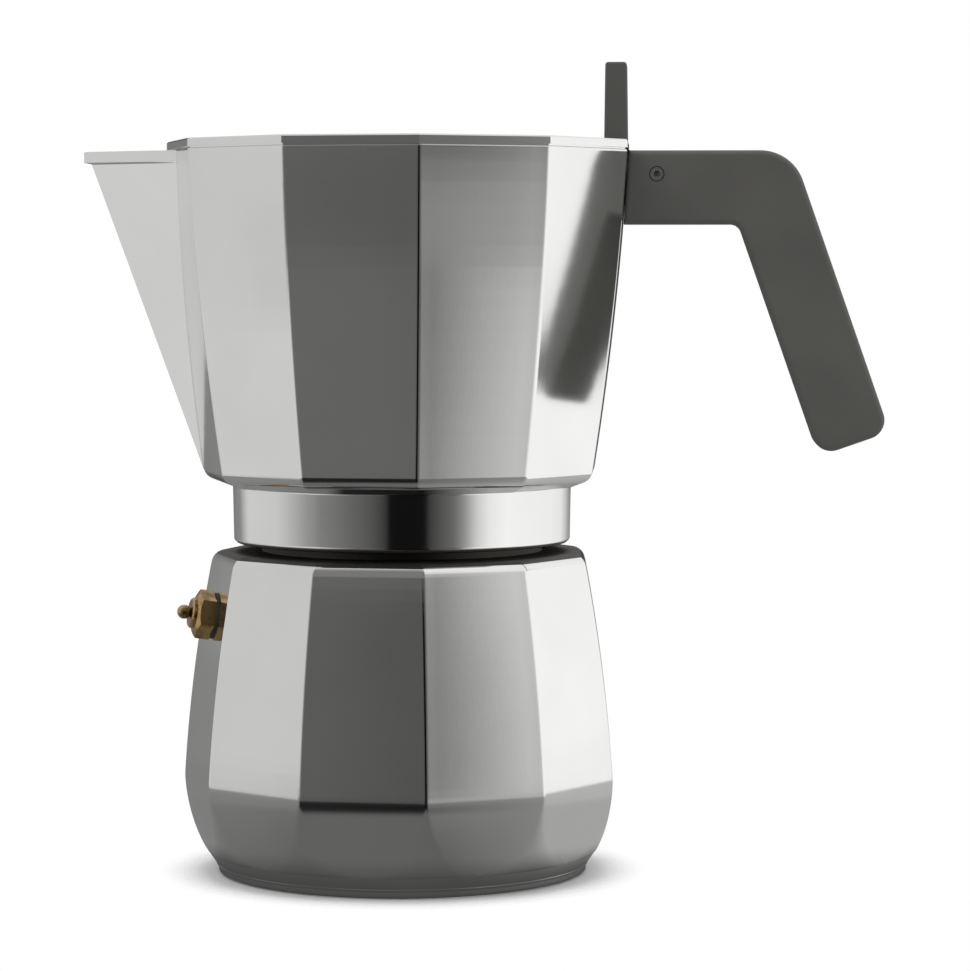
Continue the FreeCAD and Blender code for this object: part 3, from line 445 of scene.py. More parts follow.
@dataclass
class Studio:
    """Soft light, the reflections that the metal sees, the floor and the camera."""

    lamps: tuple[Lamp, ...] = (Lamp("key_lamp", (-0.9, -1.0, 1.4), 1.0, 8.0),
                               Lamp("fill_lamp", (1.1, -0.7, 1.2), 0.9, 4.0),
                               Lamp("top_lamp", (0.0, -0.01, 1.7), 0.7, 8.0))
    dome_radius: float = 2.5
    dome_height: float = 0.1
    metal_shine: float = 0.85
    sky_tone: float = 200
    below_ends: Pair = (-9.0, -7.8)
    level_ends: Pair = (-4.2, -3.0)
    above_ends: Pair = (13, 20)
    high_ends: Pair = (60, 86)
    world_light: float = 0.62
    floor_radius: float = 0.062
    floor_fade: float = 0.046
    floor_colour: Colour = (0.8, 0.8, 0.8)
    table_radius: float = 0.30
    table_fade: float = 0.265
    table_step: float = 0.128
    table_blur: float = 0.012
    # painted shadow of the pot on the table beside its foot: its tone, and the radii where it
    # fades
    foot_shadow_tone: float = 72
    foot_shadow_ends: Pair = (0.044, 0.062)
    eye: Place = (0.0660, -0.9087, 0.15135)
    gaze: Place = (-0.0496, 0.9970, -0.0600)
    lens: float = 135.1
    above: Tones = ((-180, 194), (-160, 196), (-150, 196), (-146, 190), (-132, 150),
                    (-118, 98), (-109, 90), (-103, 76), (-96, 60), (-95, 12), (-69, 12),
                    (-66, 74), (-48, 92), (-43, 110), (-41.5, 140), (-40, 166), (-38, 196),
                    (-32, 226), (-12, 240), (35, 240), (55, 190), (72, 96), (88, 52), (104, 62),
                    (122, 131), (128, 146), (136, 186), (150, 194), (180, 194))
    below: Tones = ((-180, 199), (-166, 203), (-153, 200), (-146, 202), (-132, 150),
                    (-118, 100), (-109, 96), (-104, 84), (-98, 70), (-95, 12), (-69, 12),
                    (-66, 74), (-50, 90), (-46.5, 108), (-45, 136), (-43.5, 164), (-41, 190),
                    (-34, 226), (-12, 240), (35, 240), (55, 190), (72, 96), (88, 52),
                    (104, 62), (122, 131), (138, 160), (158, 186), (180, 199))
    high: Tones = ((-180, 194), (-150, 196), (-132, 150), (-118, 118), (-66, 112), (-48, 116),
                   (-40, 166), (-32, 226), (35, 235), (120, 200), (180, 194))
    level: Tones = ((-180, 196), (-172, 186), (-163, 168), (-153, 145), (-144, 124), (-135, 113),
                    (-117, 94), (-109, 86), (-101, 68), (-96, 50), (-94.5, 16), (-70.5, 16),
                    (-67.5, 58), (-60, 80), (-51, 102), (-43, 144), (-34, 200), (-25, 227),
                    (-12, 239), (35, 236), (52, 226), (72, 150), (100, 110), (130, 130),
                    (145, 198), (180, 196))
    near: Tones = ((-180, 128), (-153, 118), (-135, 112), (-124, 34), (-96, 22), (-69, 16),
                   (-60, 70), (-50, 104), (-41, 130), (-25, 165), (20, 174), (60, 150),
                   (120, 120), (180, 128))
    under: Tones = ((-180, 122), (-153, 108), (-125, 96), (-106, 96), (-69, 92), (-50, 118),
                    (-41, 130), (-25, 160), (20, 160), (60, 140), (120, 120), (180, 122))

    def world(self) -> None:
        """Plain pale light; a ray that looks at the background sees white."""
        world = bpy.data.worlds.new("studio")
        bpy.context.scene.world = world
        world.use_nodes = True
        tree = world.node_tree
        tree.nodes.clear()
        path = add_node(tree, "LightPath").outputs
        seen = arithmetic(tree, "MAXIMUM", path["Is Camera Ray"], path["Is Glossy Ray"])
        seen = arithmetic(tree, "MAXIMUM", seen, path["Is Transmission Ray"])
        light, white = (add_node(tree, "Background", {"Color": (1, 1, 1, 1), "Strength": strength})
                        for strength in (self.world_light, 1.0))
        both = add_node(tree, "MixShader", {0: seen, 1: light.outputs[0], 2: white.outputs[0]})
        add_node(tree, "OutputWorld", {"Surface": both.outputs[0]})

    def card(self, name: str, mesh: Mesh, material: Material, camera: bool, glossy: bool) -> None:
        """Set up a studio surface that only some rays see."""
        thing = new_object(name, mesh)
        mesh.materials.append(material)
        for rays in ("camera", "diffuse", "transmission", "shadow"):
            setattr(thing, f"visible_{rays}", camera)
        thing.visible_glossy = glossy

    def ring(self, tree: Tree, turn: Socket, tones: Tones) -> Socket:
        """Colours round the pot from (azimuth in degrees, tone) stops."""
        return ramp(tree, turn, [((degrees + 180) / 360,
                                  (mean_grey(tone) / self.metal_shine,) * 3)
                                 for degrees, tone in tones])

    def start_glow(self, name: str) -> tuple[Material, Tree, list, Socket]:
        """Begin a lit studio surface: its material, graph, place parts and turn, 0 to 1."""
        material, tree, place = blank_material(name)
        material.cycles.emission_sampling = "NONE"
        parts = add_node(tree, "SeparateXYZ", {0: place}).outputs
        angle = arithmetic(tree, "ARCTAN2", parts[1], parts[0])
        return material, tree, parts, arithmetic(tree, "MULTIPLY_ADD", angle, 1 / math.tau, 0.5)

    def between(self, tree: Tree, value: Socket, start: float,
                end: float, first: object, second: object) -> Socket:
        """Colour that goes softly from first to second while value goes from start to end."""
        inputs = {0: eased(tree, value, start, end), 6: first, 7: second}
        return add_node(tree, "Mix", inputs, data_type="RGBA").outputs[2]

    def dome(self) -> None:
        """Sphere of softboxes and dark flags round the pot, seen by polished metal only.

        Its light depends on the direction round the pot, with one set of tones high up, one
        above the horizon, one at its level and one below; the top is a pale sky. Each zone
        gives way to the next between two elevations in degrees.

        Formula: an elevation e lies at the height dome_height + dome_radius * sin(e).
        """
        material, tree, parts, turn = self.start_glow("softboxes")
        sky = (mean_grey(self.sky_tone) / self.metal_shine,) * 3 + (1,)
        rings = [self.ring(tree, turn, tones)
                 for tones in (self.below, self.level, self.above, self.high)]
        colour = rings[0]
        borders = (self.below_ends, self.level_ends, self.above_ends, self.high_ends)
        for ends, upper in zip(borders, (*rings[1:], sky)):
            low, high = (self.dome_height + self.dome_radius * math.sin(math.radians(degrees))
                         for degrees in ends)
            colour = self.between(tree, parts[2], low, high, colour, upper)
        glow = add_node(tree, "Emission", {"Color": colour, "Strength": 1.0})
        add_node(tree, "OutputMaterial", {"Surface": glow.outputs[0]})
        v = np.linspace(0.001, math.pi - 0.001, 49)
        mesh = self.turned("softbox_dome", np.sin(v) * self.dome_radius,
                           np.cos(v) * self.dome_radius + self.dome_height)
        self.card("softbox_dome", mesh, material, camera=False, glossy=True)

    def table(self) -> None:
        """Glowing sheet under the pot that only polished metal sees: a grey table with painted
        shade of the pot on it, and painted shadow darkest beside the foot.
        """
        material, tree, parts, turn = self.start_glow("table_painted_shade")
        radius = distance_from_axis(tree, parts)
        colour = self.between(tree, radius, self.table_step - self.table_blur,
                              self.table_step + self.table_blur,
                              self.ring(tree, turn, self.under), self.ring(tree, turn, self.near))
        # painted shadow: the table's glow darkens to this tone beside the foot
        foot = (mean_grey(self.foot_shadow_tone),) * 3 + (1,)
        colour = self.between(tree, radius, *self.foot_shadow_ends, foot, colour)
        glow = add_node(tree, "Emission", {"Color": colour}).outputs[0]
        self.fade_out(tree, radius, self.table_fade, self.table_radius, glow)
        disc = self.turned("table", np.array([self.table_radius, TINY]), np.full(2, 0.1 * MM))
        self.card("table", disc, material, camera=False, glossy=True)

    def turned(self, name: str, radii: Array, heights: Array) -> Mesh:
        """Sheet turned about the axis, from each row's radius and height."""
        u = np.linspace(0, math.tau, 97)[:-1]
        points = np.stack([np.outer(radii, np.cos(u)), np.outer(radii, np.sin(u)),
                           np.outer(heights, np.ones_like(u))], axis=-1)
        return Surface(name).sheet(points).mesh(smooth=False)

    def fade_out(self, tree: Tree, radius: Socket, inner: float,
                 outer: float, look: Socket) -> None:
        """End a sheet's graph: the look, fading out between two radii."""
        clear = add_node(tree, "BsdfTransparent").outputs[0]
        both = add_node(tree, "MixShader",
                        {0: eased(tree, radius, inner, outer), 1: look, 2: clear})
        add_node(tree, "OutputMaterial", {"Surface": both.outputs[0]})

    def floor(self) -> None:
        """Pale matt floor that keeps the shadow close round the foot."""
        material, tree, place = blank_material("pale_floor")
        length = add_node(tree, "VectorMath", {0: place}, operation="LENGTH")
        matt = add_node(tree, "BsdfDiffuse", {"Color": (*self.floor_colour, 1)})
        self.fade_out(tree, length.outputs["Value"], self.floor_fade, self.floor_radius,
                      matt.outputs[0])
        disc = self.turned("floor", np.array([self.floor_radius, TINY]), np.zeros(2))
        self.card("floor", disc, material, camera=True, glossy=False)

    def hang(self, lamp: Lamp) -> None:
        """Set up a lamp, aimed at the pot's middle."""
        data = bpy.data.lights.new(lamp.name, "AREA")
        data.shape, data.size, data.energy = "SQUARE", lamp.size, lamp.watts
        thing = new_object(lamp.name, data)
        aim = Vector((0, 0, self.dome_height)) - Vector(lamp.place)
        thing.matrix_world = (Matrix.Translation(lamp.place)
                              @ aim.to_track_quat("-Z", "Y").to_matrix().to_4x4())
        thing.visible_glossy = thing.visible_camera = False

    def camera(self) -> None:
        """Camera a little above the pot's middle, in front of its far side."""
        data = bpy.data.cameras.new("camera")
        data.lens, data.sensor_width, data.clip_start = self.lens, 36.0, 0.05
        thing = new_object("camera", data)
        turn = Vector(self.gaze).to_track_quat("-Z", "Y")
        thing.matrix_world = Matrix.Translation(self.eye) @ turn.to_matrix().to_4x4()
        bpy.context.scene.camera = thing

    def build(self) -> None:
        """Set the whole studio up."""
        bpy.context.scene.view_settings.view_transform = "Standard"
        self.camera()
        self.world()
        self.dome()
        self.table()
        self.floor()
        for lamp in self.lamps:
            self.hang(lamp)
        LOG.info("studio ready")


# ---- surfaces
class Surface:
    """A closed or open mesh made of grids of points."""

    def __init__(self, name: str) -> None:
        self.name = name
        self.points: list[Array] = []
        self.faces: list[list[int]] = []
        self.marks: list[Array] = []
        self.count = 0

    def sheet(self, points: Array, over: bool = False, slots: object = 0,
              poles: tuple[Array, Array] | None = None) -> "Surface":
        """Add a grid whose last column joins its first; the result is the surface itself.

        Args:
            points: rows x columns x 3 places; rows run up the outside, columns run
                counter-clockwise seen from above.
            over: join the last row to the first too, as on a ring.
            slots: material slot of every row's faces, or one for all.
            poles: one more point below the first row and one above the last.
        """
        rows, columns = points.shape[:2]
        index = np.arange(rows * columns).reshape(rows, columns) + self.count
        right = np.roll(index, -1, axis=1)
        above, right_above = np.roll(index, -1, axis=0), np.roll(right, -1, axis=0)
        quads = np.stack([index, right, right_above, above], axis=-1)
        quads = (quads if over else quads[:-1])
        marks = np.broadcast_to(np.asarray(slots).reshape(-1, 1), (rows, columns))[:len(quads)]
        self.points.append(points.reshape(-1, 3))
        self.faces += quads.reshape(-1, 4).tolist()
        self.marks.append(marks.reshape(-1))
        self.count += rows * columns
        if poles is not None:
            low, high = np.full(columns, self.count), np.full(columns, self.count + 1)
            fans = np.stack([np.stack([low, right[0], index[0]], axis=-1),
                             np.stack([high, index[-1], right[-1]], axis=-1)])
            self.points.append(np.stack(poles))
            self.faces += fans.reshape(-1, 3).tolist()
            self.marks.append(np.repeat(marks[[0, -1], 0], columns))
            self.count += 2
        return self

    def mesh(self, smooth: bool = True) -> Mesh:
        """The finished mesh."""
        made = bpy.data.meshes.new(self.name)
        made.from_pydata(np.concatenate(self.points).tolist(), [], self.faces)
        made.polygons.foreach_set("use_smooth", np.full(len(self.faces), smooth))
        made.polygons.foreach_set("material_index", np.concatenate(self.marks))
        made.update()
        return made

    def piece(self, body: str, slot: str, *stands_for: str) -> Thing:
        """The mesh as an object that rides on a body and stands for CAD nodes."""
        thing = new_object(self.name, self.mesh())
        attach(thing, body)
        if stands_for:
            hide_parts(*stands_for)
        LOG.info("built %s with %d faces", self.name, len(self.faces))
        return thing


def softened(corners: Array, reach: Array, steps: int, fill: int = 0,
             hold: float = 0.35, crown: float = 0.0) -> Array:
    """Closed outlines with a small curve in place of each corner.

    Formula: with e and f the directions of the edges before and after a corner V, the curve
    is (1 - t)^2 (V - reach e) + 2 t (1 - t) V + t^2 (V + reach f) for t from 0 to 1. A point
    on each edge beside the curve keeps the flat flat, and fill points divide the rest of the
    edge evenly; on an edge longer than CROWN_FULL they stand out by crown * 4 s (1 - s) at
    the share s of it, and on one shorter than CROWN_FROM not at all.

    Args:
        corners: rows x corners x 2 places, counter-clockwise.
        reach: rows x corners, how far each curve runs along its edges.
        steps: pieces of each curve.
        fill: even points on each edge between two curves.
        hold: distance of the keeping points from their curve.
        crown: how far the middle of an edge bows out.

    Returns:
        rows x columns x 2 places, steps + 3 + fill columns for each corner.
    """
    edge = corners - np.roll(corners, 1, axis=1)
    length = np.linalg.norm(edge, axis=-1)
    e = edge / length[..., None]
    free = np.maximum(length - reach - np.roll(reach, 1, axis=1), 0)
    keep = np.minimum(hold, 0.3 * free)
    f, keep_after = np.roll(e, -1, axis=1), np.roll(keep, -1, axis=1)
    t = np.linspace(0, 1, steps + 1)[:, None]
    v, r = corners[..., None, :], reach[..., None, None]
    e, f = e[..., None, :], f[..., None, :]
    curve = ((1 - t) ** 2 * (v - r * e) + 2 * t * (1 - t) * v + t ** 2 * (v + r * f))
    before = v - (r + keep[..., None, None]) * e
    after = v + (r + keep_after[..., None, None]) * f
    points = np.concatenate([before, curve, after], axis=2)
    if fill:
        share = (np.arange(1, fill + 1) / (fill + 1))[:, None]
        next_first = np.roll(points[:, :, :1], -1, axis=1)
        long = ((np.roll(length, -1, axis=1) - CROWN_FROM) / (CROWN_FULL - CROWN_FROM)).clip(0, 1)
        out = np.concatenate([f[..., 1:], -f[..., :1]], axis=-1)
        bow = crown * long[..., None, None] * 4 * share * (1 - share) * out
        points = np.concatenate([points, after + (next_first - after) * share + bow], axis=2)
    return points.reshape(len(corners), -1, 2)


def arc(start: Pair, end: Pair, radius: float, count: int) -> Array:
    """Points along an arc that bulges to the right of the way from start to end.

    Formula: the centre lies on the chord's perpendicular, sqrt(radius^2 - chord^2 / 4) to
    the left of its middle; the points are evenly spaced in angle.
    """
    a, b = np.array(start), np.array(end)
    chord = b - a
    long = np.hypot(*chord)
    left = np.array([-chord[1], chord[0]]) / long
    centre = (a + b) / 2 + left * math.sqrt(radius ** 2 - long ** 2 / 4)
    first = math.atan2(*(a - centre)[::-1])
    sweep = 2 * math.asin(long / (2 * radius))
    angle = first + np.linspace(0, sweep, count)
    return centre + radius * np.stack([np.cos(angle), np.sin(angle)], axis=-1)


class Ring(Enum):
    """What the rows of a turned or faceted piece follow round the axis."""

    ROUND = 0
    FLATS = 1
    SPOUT = 2
    LIP = 3
    CHANNEL = 4


@dataclass
class Path:
    """Half section of a piece: distance from the axis and height, corner by corner."""

    corners: list[Place] = field(default_factory=list)
    rings: list[Ring] = field(default_factory=list)

    def to(self, out: float, up: float, soft: float = 0.0, ring: Ring = Ring.ROUND) -> "Path":
        """Add a corner with a curve that runs soft along its edges."""
        self.corners.append((out, up, soft))
        self.rings.append(ring)
        return self

    def through(self, corners: Corners) -> "Path":
        """Add a run of round corners."""
        for corner in corners:
            self.to(*corner)
        return self

    def upright(self, out: float, heights: Array) -> "Path":
        """Add round rows at one distance from the axis."""
        return self.along(np.stack([np.full_like(heights, out), heights], axis=-1), Ring.ROUND)

    def along(self, points: Array, ring: Ring) -> "Path":
        """Add a run of plain points."""
        for out, up in points:
            self.to(float(out), float(up), 0.0, ring)
        return self

    def rows(self, closed: bool, steps: int = 3) -> tuple[Array, Array, Array]:
        """Distance, height and ring of every row, without rows that fall together."""
        table = np.array(self.corners)
        points = softened(table[None, :, :2], table[None, :, 2], steps)[0]
        rings = np.repeat([ring.value for ring in self.rings], steps + 3)
        if not closed:
            points, rings = points[steps + 1:-steps - 1], rings[steps + 1:-steps - 1]
        apart = np.linalg.norm(points - np.roll(points, 1, axis=0), axis=1) > 0.001
        apart[0] = True
        return points[apart, 0], points[apart, 1], rings[apart]


def in_space(flat: Array, height: Array) -> Array:
    """Outlines and their heights as places in metres."""
    up = np.broadcast_to(height, flat.shape[:-1])
    return np.concatenate([flat, up[..., None]], axis=-1) * MM


@dataclass
class Thread:
    """Round screw thread on a neck or in a collar, right-handed."""

    pitch: float = 3.0
    depth: float = 1.6
    low: float = 83.6
    high: float = 91.6
    fade: float = 1.2
    step: float = 0.2

    def ridge(self, height: Array, angle: Array, lag: float) -> Array:
        """Height of the thread's ridge above its core.

        Formula: depth times a raised cosine of the phase height / pitch - angle / turn - lag,
        squared to leave a wide root, faded out at both ends of the thread.
        """
        phase = height / self.pitch - angle / math.tau - lag
        wave = (0.5 + 0.5 * np.cos(math.tau * phase)) ** 1.5
        ends = np.clip(np.minimum(height - self.low, self.high - height) / self.fade, 0, 1)
        return self.depth * wave * ends * ends * (3 - 2 * ends)

    def cut(self, flat: Array, rows: tuple[Array, Array, Array],
            threaded: Array, lag: float, side: int) -> Array:
        """Outlines whose round rows are true circles, with the ridge on the threaded rows.

        Args:
            rows: every row's distance, height and ring.
            lag: share of a turn by which the ridge starts later.
            side: 1 for a ridge that stands out, -1 for one that stands in.
        """
        out, up, ring = rows
        angle = np.arctan2(flat[..., 1], flat[..., 0])
        length = np.linalg.norm(flat, axis=-1)
        ridge = np.where(threaded[:, None], self.ridge(up[:, None], angle, lag), 0.0)
        radius = np.where((ring == Ring.ROUND.value)[:, None], out[:, None] + side * ridge, length)
        return flat * (radius / length)[..., None]


@dataclass
class Boiler:
    """Lower part: round foot that turns into eleven flats, shoulder and threaded neck."""

    turn: float = 1.94
    floor_low: float = 2.0
    foot_r: float = 46.2
    plate_r: float = 45.65
    foot_flat: float = 47.0
    foot_curve: float = 50.0
    round_top: Pair = (54.82, 27.0)
    round_curve: float = 40.5
    belly: Pair = (52.6, 25.0)
    flank_low: Pair = (52.58, 24.4)
    flank_curve: float = 420.0
    shoulder: Pair = (45.94, 77.6)
    shoulder_curve: float = 3.7
    top: Pair = (42.2, 80.6)
    neck_r: float = 36.0
    neck_top: float = 92.0
    bore_r: float = 31.5
    corner_soft: float = 0.5
    crown: float = 0.09
    inside: Corners = (
        (31.5, 77.4, 0.5), (37.7, 77.2, 1.0), (42.9, 72.6, 2.0), (48.9, 31.0, 2.0),
        (49.2, 24.0, 3.0), (46.0, 10.0, 3.0), (41.0, 5.2, 2.5), (2.0, 5.2, 0.0))
    thread: Thread = field(default_factory=Thread)

    def path(self) -> Path:
        """Half section, from the underside's middle over the outside to the inner floor."""
        groove = self.neck_r - 1.0
        foot = arc((self.foot_flat, self.floor_low), self.belly, self.foot_curve, 40)
        foot = foot[(foot[:, 1] > self.floor_low + 0.1) & (foot[:, 1] < self.flank_low[1] - 1.1)]
        flank = arc(self.flank_low, self.shoulder, self.flank_curve, 19)[1:]
        bend = arc(self.shoulder, self.top, self.shoulder_curve, 9)[1:]
        made = Path().to(2.0, self.floor_low).to(self.plate_r, self.floor_low, 0.1)
        made.to(self.plate_r, 0.5, 0.1).to(self.foot_r - 0.1, 0.5, 0.15)
        made.to(self.foot_r, self.floor_low, 0.3)
        made.along(foot, Ring.FLATS).to(*self.flank_low, 0.9, Ring.FLATS)
        made.along(flank, Ring.FLATS).along(bend, Ring.FLATS)
        made.to(groove, self.top[1], 0.15).to(groove, self.top[1] + 2.0, 0.3)
        made.to(self.neck_r, self.thread.low, 0.15)
        made.upright(self.neck_r, np.arange(self.thread.low + 0.2, self.neck_top - 1.0,
                                            self.thread.step))
        made.to(self.neck_r, self.neck_top - 0.8, 0.1)
        made.to(self.neck_r - 0.8, self.neck_top, 0.15).to(self.bore_r, self.neck_top, 0.3)
        return made.through(self.inside)

    def outline(self, out: Array, up: Array, ring: Array) -> Array:
        """Rows of the outside: a circle at the foot, eleven flats higher up.

        Formula: where the round foot stands less than the flats' corners out, each flat
        reaches sqrt(foot^2 - flat^2) to either side of its middle, and a curve joins it to
        the next.
        """
        half = out * math.tan(math.pi / FACETS)
        curve = arc((self.foot_r, self.floor_low), self.round_top, self.round_curve, 60)
        foot = np.interp(up, curve[:, 1], curve[:, 0], right=1e3)
        flats = (ring == Ring.FLATS.value)
        reached = np.sqrt(np.maximum(foot ** 2 - out ** 2, 0))
        soft = np.where(flats, np.clip(half - reached, self.corner_soft, 0.97 * half), 0.97 * half)
        out = np.where(flats, np.minimum(out, foot), out)
        angle = (np.arange(FACETS) + 0.5) * math.tau / FACETS + math.radians(self.turn)
        corners = (out / math.cos(math.pi / FACETS))[:, None, None] * np.stack(
            [np.cos(angle), np.sin(angle)], axis=-1)
        return softened(corners, np.broadcast_to(soft[:, None], corners.shape[:2]), 9, 9,
                        crown=self.crown)

    def build(self, wardrobe: Wardrobe) -> None:
        """Mesh of the whole boiler, dressed."""
        out, up, ring = rows = self.path().rows(closed=False)
        on_neck = np.abs(out - self.neck_r) < 0.01
        flat = self.thread.cut(self.outline(out, up, ring), rows, on_neck, 0.0, 1)
        inside = np.arange(len(up)) > np.argmax(up)
        slots = np.where(inside | on_neck, 1, 0)
        # slot 2 is painted shade on the shoulder's top and the groove below the collar, up to the
        # thread
        slots[(up > self.top[1] - 1.0) & (up < self.thread.low - 0.01) & ~inside] = 2
        poles = tuple(np.array([0, 0, up]) * MM for up in (self.floor_low, self.inside[-1][1]))
        surface = Surface("boiler_casting").sheet(
            in_space(flat, up[:, None]), slots=slots, poles=poles)
        thing = surface.piece("boiler", "cast_aluminium", "boiler")
        wardrobe.wear(thing, CAST, COLLAR, SHADED_LEDGE)


@dataclass
class Vessel:
    """Upper part: screw collar, eleven flats, V spout with a lip, and the inside."""

    collar_low: float = 82.7
    collar_top: float = 96.95
    collar_r: float = 42.25
    bore_r: float = 38.0
    bend: Pair = (45.61, 98.2)
    bend_curve: float = 3.5
    low: Pair = (47.95, 101.0)
    rim: Pair = (56.32, 179.95)
    flank_curve: float = 845.0
    wall: float = 3.0
    floor_up: float = 102.5
    floor_bend: float = 5.0
    sill_up: float = 116.0
    lip_low: float = 177.45
    lip_tip: float = 79.8
    lip_half: float = 28.4
    spout_half: float = 29.7
    spout_foot: Pair = (49.974, 100.45)
    spout_tip: float = 78.998
    spout_wall: float = 2.0
    notch_half: float = 2.3
    notch_up: float = 172.95
    corner_soft: float = 0.4
    crown: float = 0.1
    underside: Corners = (
        (6.5, 102.5, 0.2), (6.5, 99.5, 0.2), (26.5, 99.5, 0.3), (28.0, 96.8, 0.2),
        (36.6, 96.8, 0.2), (36.6, 93.5, 0.15), (38.0, 93.5, 0.15))
    ear_r: float = 3.7
    ear_foot: float = 7.7
    ear_sides: tuple[Pair, ...] = ((-4.2, -2.3), (2.3, 4.2))
    thread: Thread = field(default_factory=Thread)

    def flat_at(self, up: Array, inset: float = 0.0) -> Array:
        """Distance of the flats from the axis at a height, less an inset.

        Formula: centre_x + sqrt((flank_curve - inset)^2 - (height - centre_z)^2), the centre
        being that of the flank's bow.
        """
        a, b = np.array(self.low), np.array(self.rim)
        chord = b - a
        long = np.hypot(*chord)
        rise = math.sqrt(self.flank_curve ** 2 - long ** 2 / 4)
        centre = (a + b) / 2 + rise * np.array([-chord[1], chord[0]]) / long
        return centre[0] + np.sqrt((self.flank_curve - inset) ** 2 - (up - centre[1]) ** 2)

    def path(self) -> Path:
        """Half section, counter-clockwise from the collar's lower outer edge."""
        made = Path().to(self.collar_r - 1.05, self.collar_low, 0.25)
        made.to(self.collar_r - 0.25, self.collar_low + 0.8, 0.25)
        made.to(self.collar_r, self.collar_top, 0.12)
        made.to(self.collar_r + 0.2, self.collar_top, 0.08, Ring.FLATS)
        made.along(arc(self.bend, self.low, self.bend_curve, 7)[:-1], Ring.FLATS)
        outer = np.linspace(self.low[1], self.lip_low - 1.2, 16)
        made.along(np.stack([self.flat_at(outer), outer], axis=-1), Ring.SPOUT)
        for rise, soft, ring in ((-0.9, 0.005, Ring.SPOUT), (0, 0.005, Ring.LIP),
                                 (0.3, 0.0, Ring.LIP)):
            up = self.lip_low + rise
            made.to(float(self.flat_at(up)), up, soft, ring)
        made.to(*self.rim, 0.4, Ring.LIP)
        made.to(float(self.flat_at(self.rim[1], self.wall)), self.rim[1], 0.3, Ring.CHANNEL)
        inner = np.linspace(self.rim[1] - 1.0, self.sill_up + 0.3, 14)
        made.along(np.stack([self.flat_at(inner, self.wall), inner], axis=-1), Ring.CHANNEL)
        for up, ring in ((self.sill_up, Ring.CHANNEL), (self.sill_up - 0.02, Ring.FLATS),
                         (self.sill_up - 0.3, Ring.FLATS)):
            made.to(float(self.flat_at(up, self.wall)), up, 0.0, ring)
        low_a = float(self.flat_at(self.floor_up + self.floor_bend, self.wall))
        bend = arc((low_a - self.floor_bend, self.floor_up),
                   (low_a, self.floor_up + self.floor_bend), 6.0, 9)[::-1]
        made.along(bend, Ring.FLATS)
        made.through(self.underside)
        made.upright(self.bore_r, np.arange(self.thread.high, self.collar_low + 0.8,
                                            -self.thread.step))
        return made.to(self.bore_r, self.collar_low, 0.25)

    def ridge_at(self, up: Array) -> Array:
        """How far out the spout's ridge stands at a height: a straight line."""
        slope = (self.spout_tip - self.spout_foot[0]) / (self.rim[1] - self.spout_foot[1])
        return self.spout_foot[0] + (up - self.spout_foot[1]) * slope

    def outline(self, out: Array, up: Array, ring: Array) -> Array:
        """Rows round the vessel: eleven flats, a wedge for the spout, marks for the notch.

        Formula: the wedge's side lies tip * sin(half angle) from the axis; it meets the flat
        beside it (side - flat * cos(between)) / cos(between + quarter turn) from the flat's
        middle, where between is the angle between the two normals.
        """
        half_turn = math.pi / FACETS
        corner, width = out / math.cos(half_turn), out * math.tan(half_turn)
        lip = ring == Ring.LIP.value
        half = np.radians(np.where(lip, self.lip_half, self.spout_half))
        inset = np.select([ring == Ring.CHANNEL.value, ring == Ring.SPOUT.value, lip],
                          [self.flat_at(up, self.wall) - out + self.spout_wall,
                           self.flat_at(up) - out, self.flat_at(up) - out], 0.0)
        tip = np.where(lip, self.lip_tip, self.ridge_at(up)) - inset / np.sin(half)
        tip = np.where(ring < Ring.SPOUT.value, corner, np.maximum(tip, corner + 0.01))
        normal = math.pi - half_turn
        between = normal - (math.pi / 2 + half)
        along = (tip * np.sin(half) - out * np.cos(between)) / np.cos(between + math.pi / 2)
        along = np.minimum(along, width - 0.9)
        meet = np.stack([out * math.cos(normal) - along * math.sin(normal),
                         out * math.sin(normal) + along * math.cos(normal)], axis=-1)
        angle = (np.arange(FACETS) + 0.5) * 2 * half_turn
        ends = corner[:, None, None] * np.stack([np.cos(angle), np.sin(angle)], axis=-1)
        ridge = np.stack([-tip, np.zeros_like(tip)], axis=-1)
        sides = np.array([-1, -1, 1, 1]) * self.notch_half + np.array([-0.06, 0, 0, 0.06])
        share = np.minimum(1.0, width / 12)[:, None]
        notch = np.stack([np.broadcast_to(out[:, None], (len(out), 4)), sides * share], axis=-1)
        middle = FACETS // 2
        corners = np.concatenate([
            ends[:, :middle], meet[:, None], ridge[:, None], (meet * [1, -1])[:, None],
            ends[:, middle + 1:], notch], axis=1)
        soft = np.full(corners.shape[:2], self.corner_soft)
        soft[:, -4:] = 0.01
        return softened(corners, soft, 3, 9, crown=self.crown)

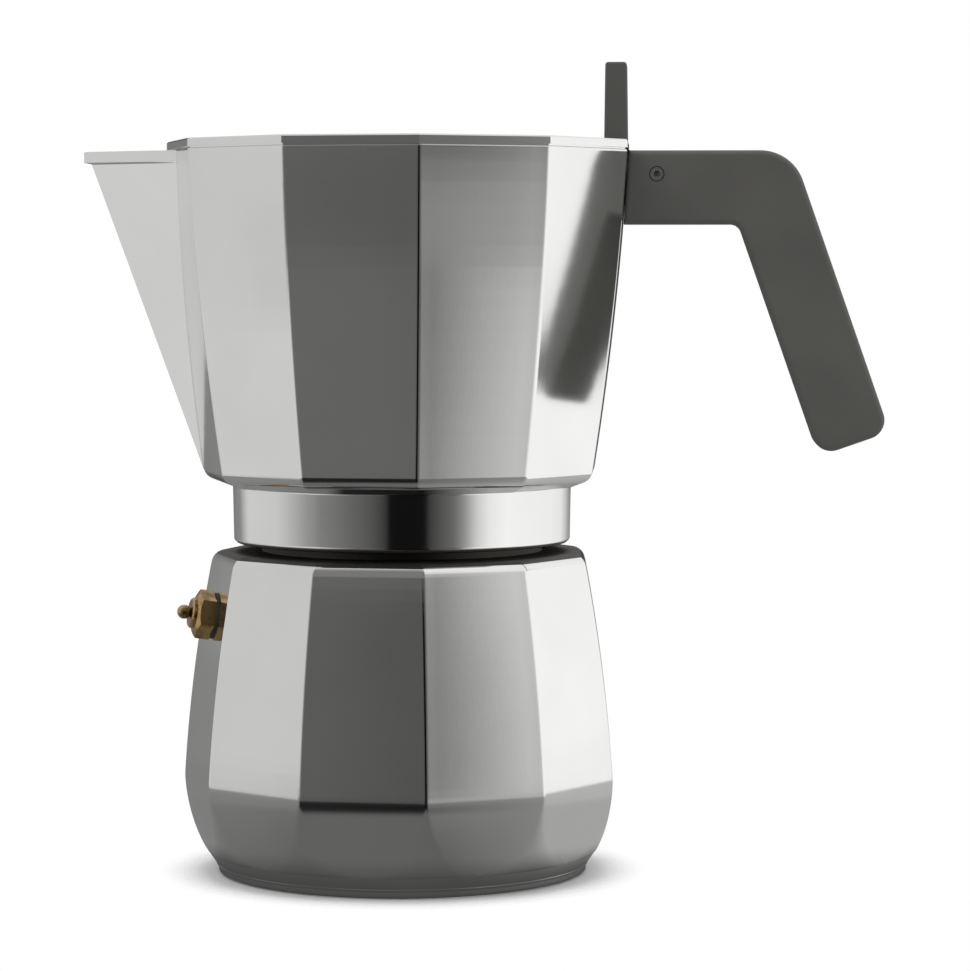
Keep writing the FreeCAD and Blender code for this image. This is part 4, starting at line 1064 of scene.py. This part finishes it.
    def build(self, wardrobe: Wardrobe) -> None:
        """Mesh of the whole vessel, dressed."""
        out, up, ring = rows = self.path().rows(closed=True)
        in_bore = (np.abs(out - self.bore_r) < 0.01) & (up < self.thread.high)
        flat = self.thread.cut(self.outline(out, up, ring), rows, in_bore, 0.5, -1)
        height = np.broadcast_to(up[:, None], flat.shape[:2])
        cut = ((np.abs(flat[..., 1]) < self.notch_half + 0.03) & (flat[..., 0] > 40)
               & (height > self.notch_up))
        height = np.where(cut, self.notch_up + (height - self.notch_up) * 0.002, height)
        turned = (ring == Ring.ROUND.value) & (up < self.floor_up - 0.5)
        surface = Surface("vessel_casting").sheet(in_space(flat, height), over=True,
                                                  slots=turned.astype(int))
        thing = surface.piece("vessel", "cast_aluminium", "upper_vessel")
        wardrobe.wear(thing, CAST, COLLAR)

    def ears(self, wardrobe: Wardrobe) -> None:
        """The two ears of the hinge lug: a block's side view with a round end, pushed out."""
        low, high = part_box("hinge_pin")
        hinge = np.array([(low.x + high.x) / 2, (low.z + high.z) / 2]) / MM
        around = np.linspace(-math.pi / 2, math.pi / 2, 25)
        end = hinge + self.ear_r * np.stack([np.cos(around), np.sin(around)], axis=-1)
        root = self.rim[0] - self.wall + 0.5
        foot = hinge[1] - self.ear_foot
        side = np.concatenate([[(root, foot), (hinge[0], foot)], end,
                               [(root, hinge[1] + self.ear_r)]])
        middle = np.array([hinge[0] - 2.5, hinge[1] - 2.0])
        for name, (inner, outer) in zip(("hinge_ear_near", "hinge_ear_far"), self.ear_sides):
            rows = [(0.96, inner), (1.0, inner + 0.15), (1.0, outer - 0.15), (0.96, outer)]
            grid = np.stack([np.concatenate([middle + (side - middle) * size,
                                             np.full((len(side), 1), y)], axis=1)
                             for size, y in rows])[:, ::-1][..., [0, 2, 1]] * MM
            poles = [np.array([middle[0], y, middle[1]]) * MM for y in (inner, outer)]
            thing = Surface(name).sheet(grid, poles=tuple(poles)).piece("vessel", "cast_aluminium")
            wardrobe.wear(thing, CAST)


def main() -> None:
    """Build the studio and the looks of every part."""
    logging.basicConfig(level=logging.INFO, format="%(name)s: %(message)s")
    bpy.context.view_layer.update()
    Studio().build()
    wardrobe = Wardrobe()
    wardrobe.dress_nodes()
    Boiler().build(wardrobe)
    vessel = Vessel()
    vessel.build(wardrobe)
    vessel.ears(wardrobe)


if __name__ == "__main__":
    main()
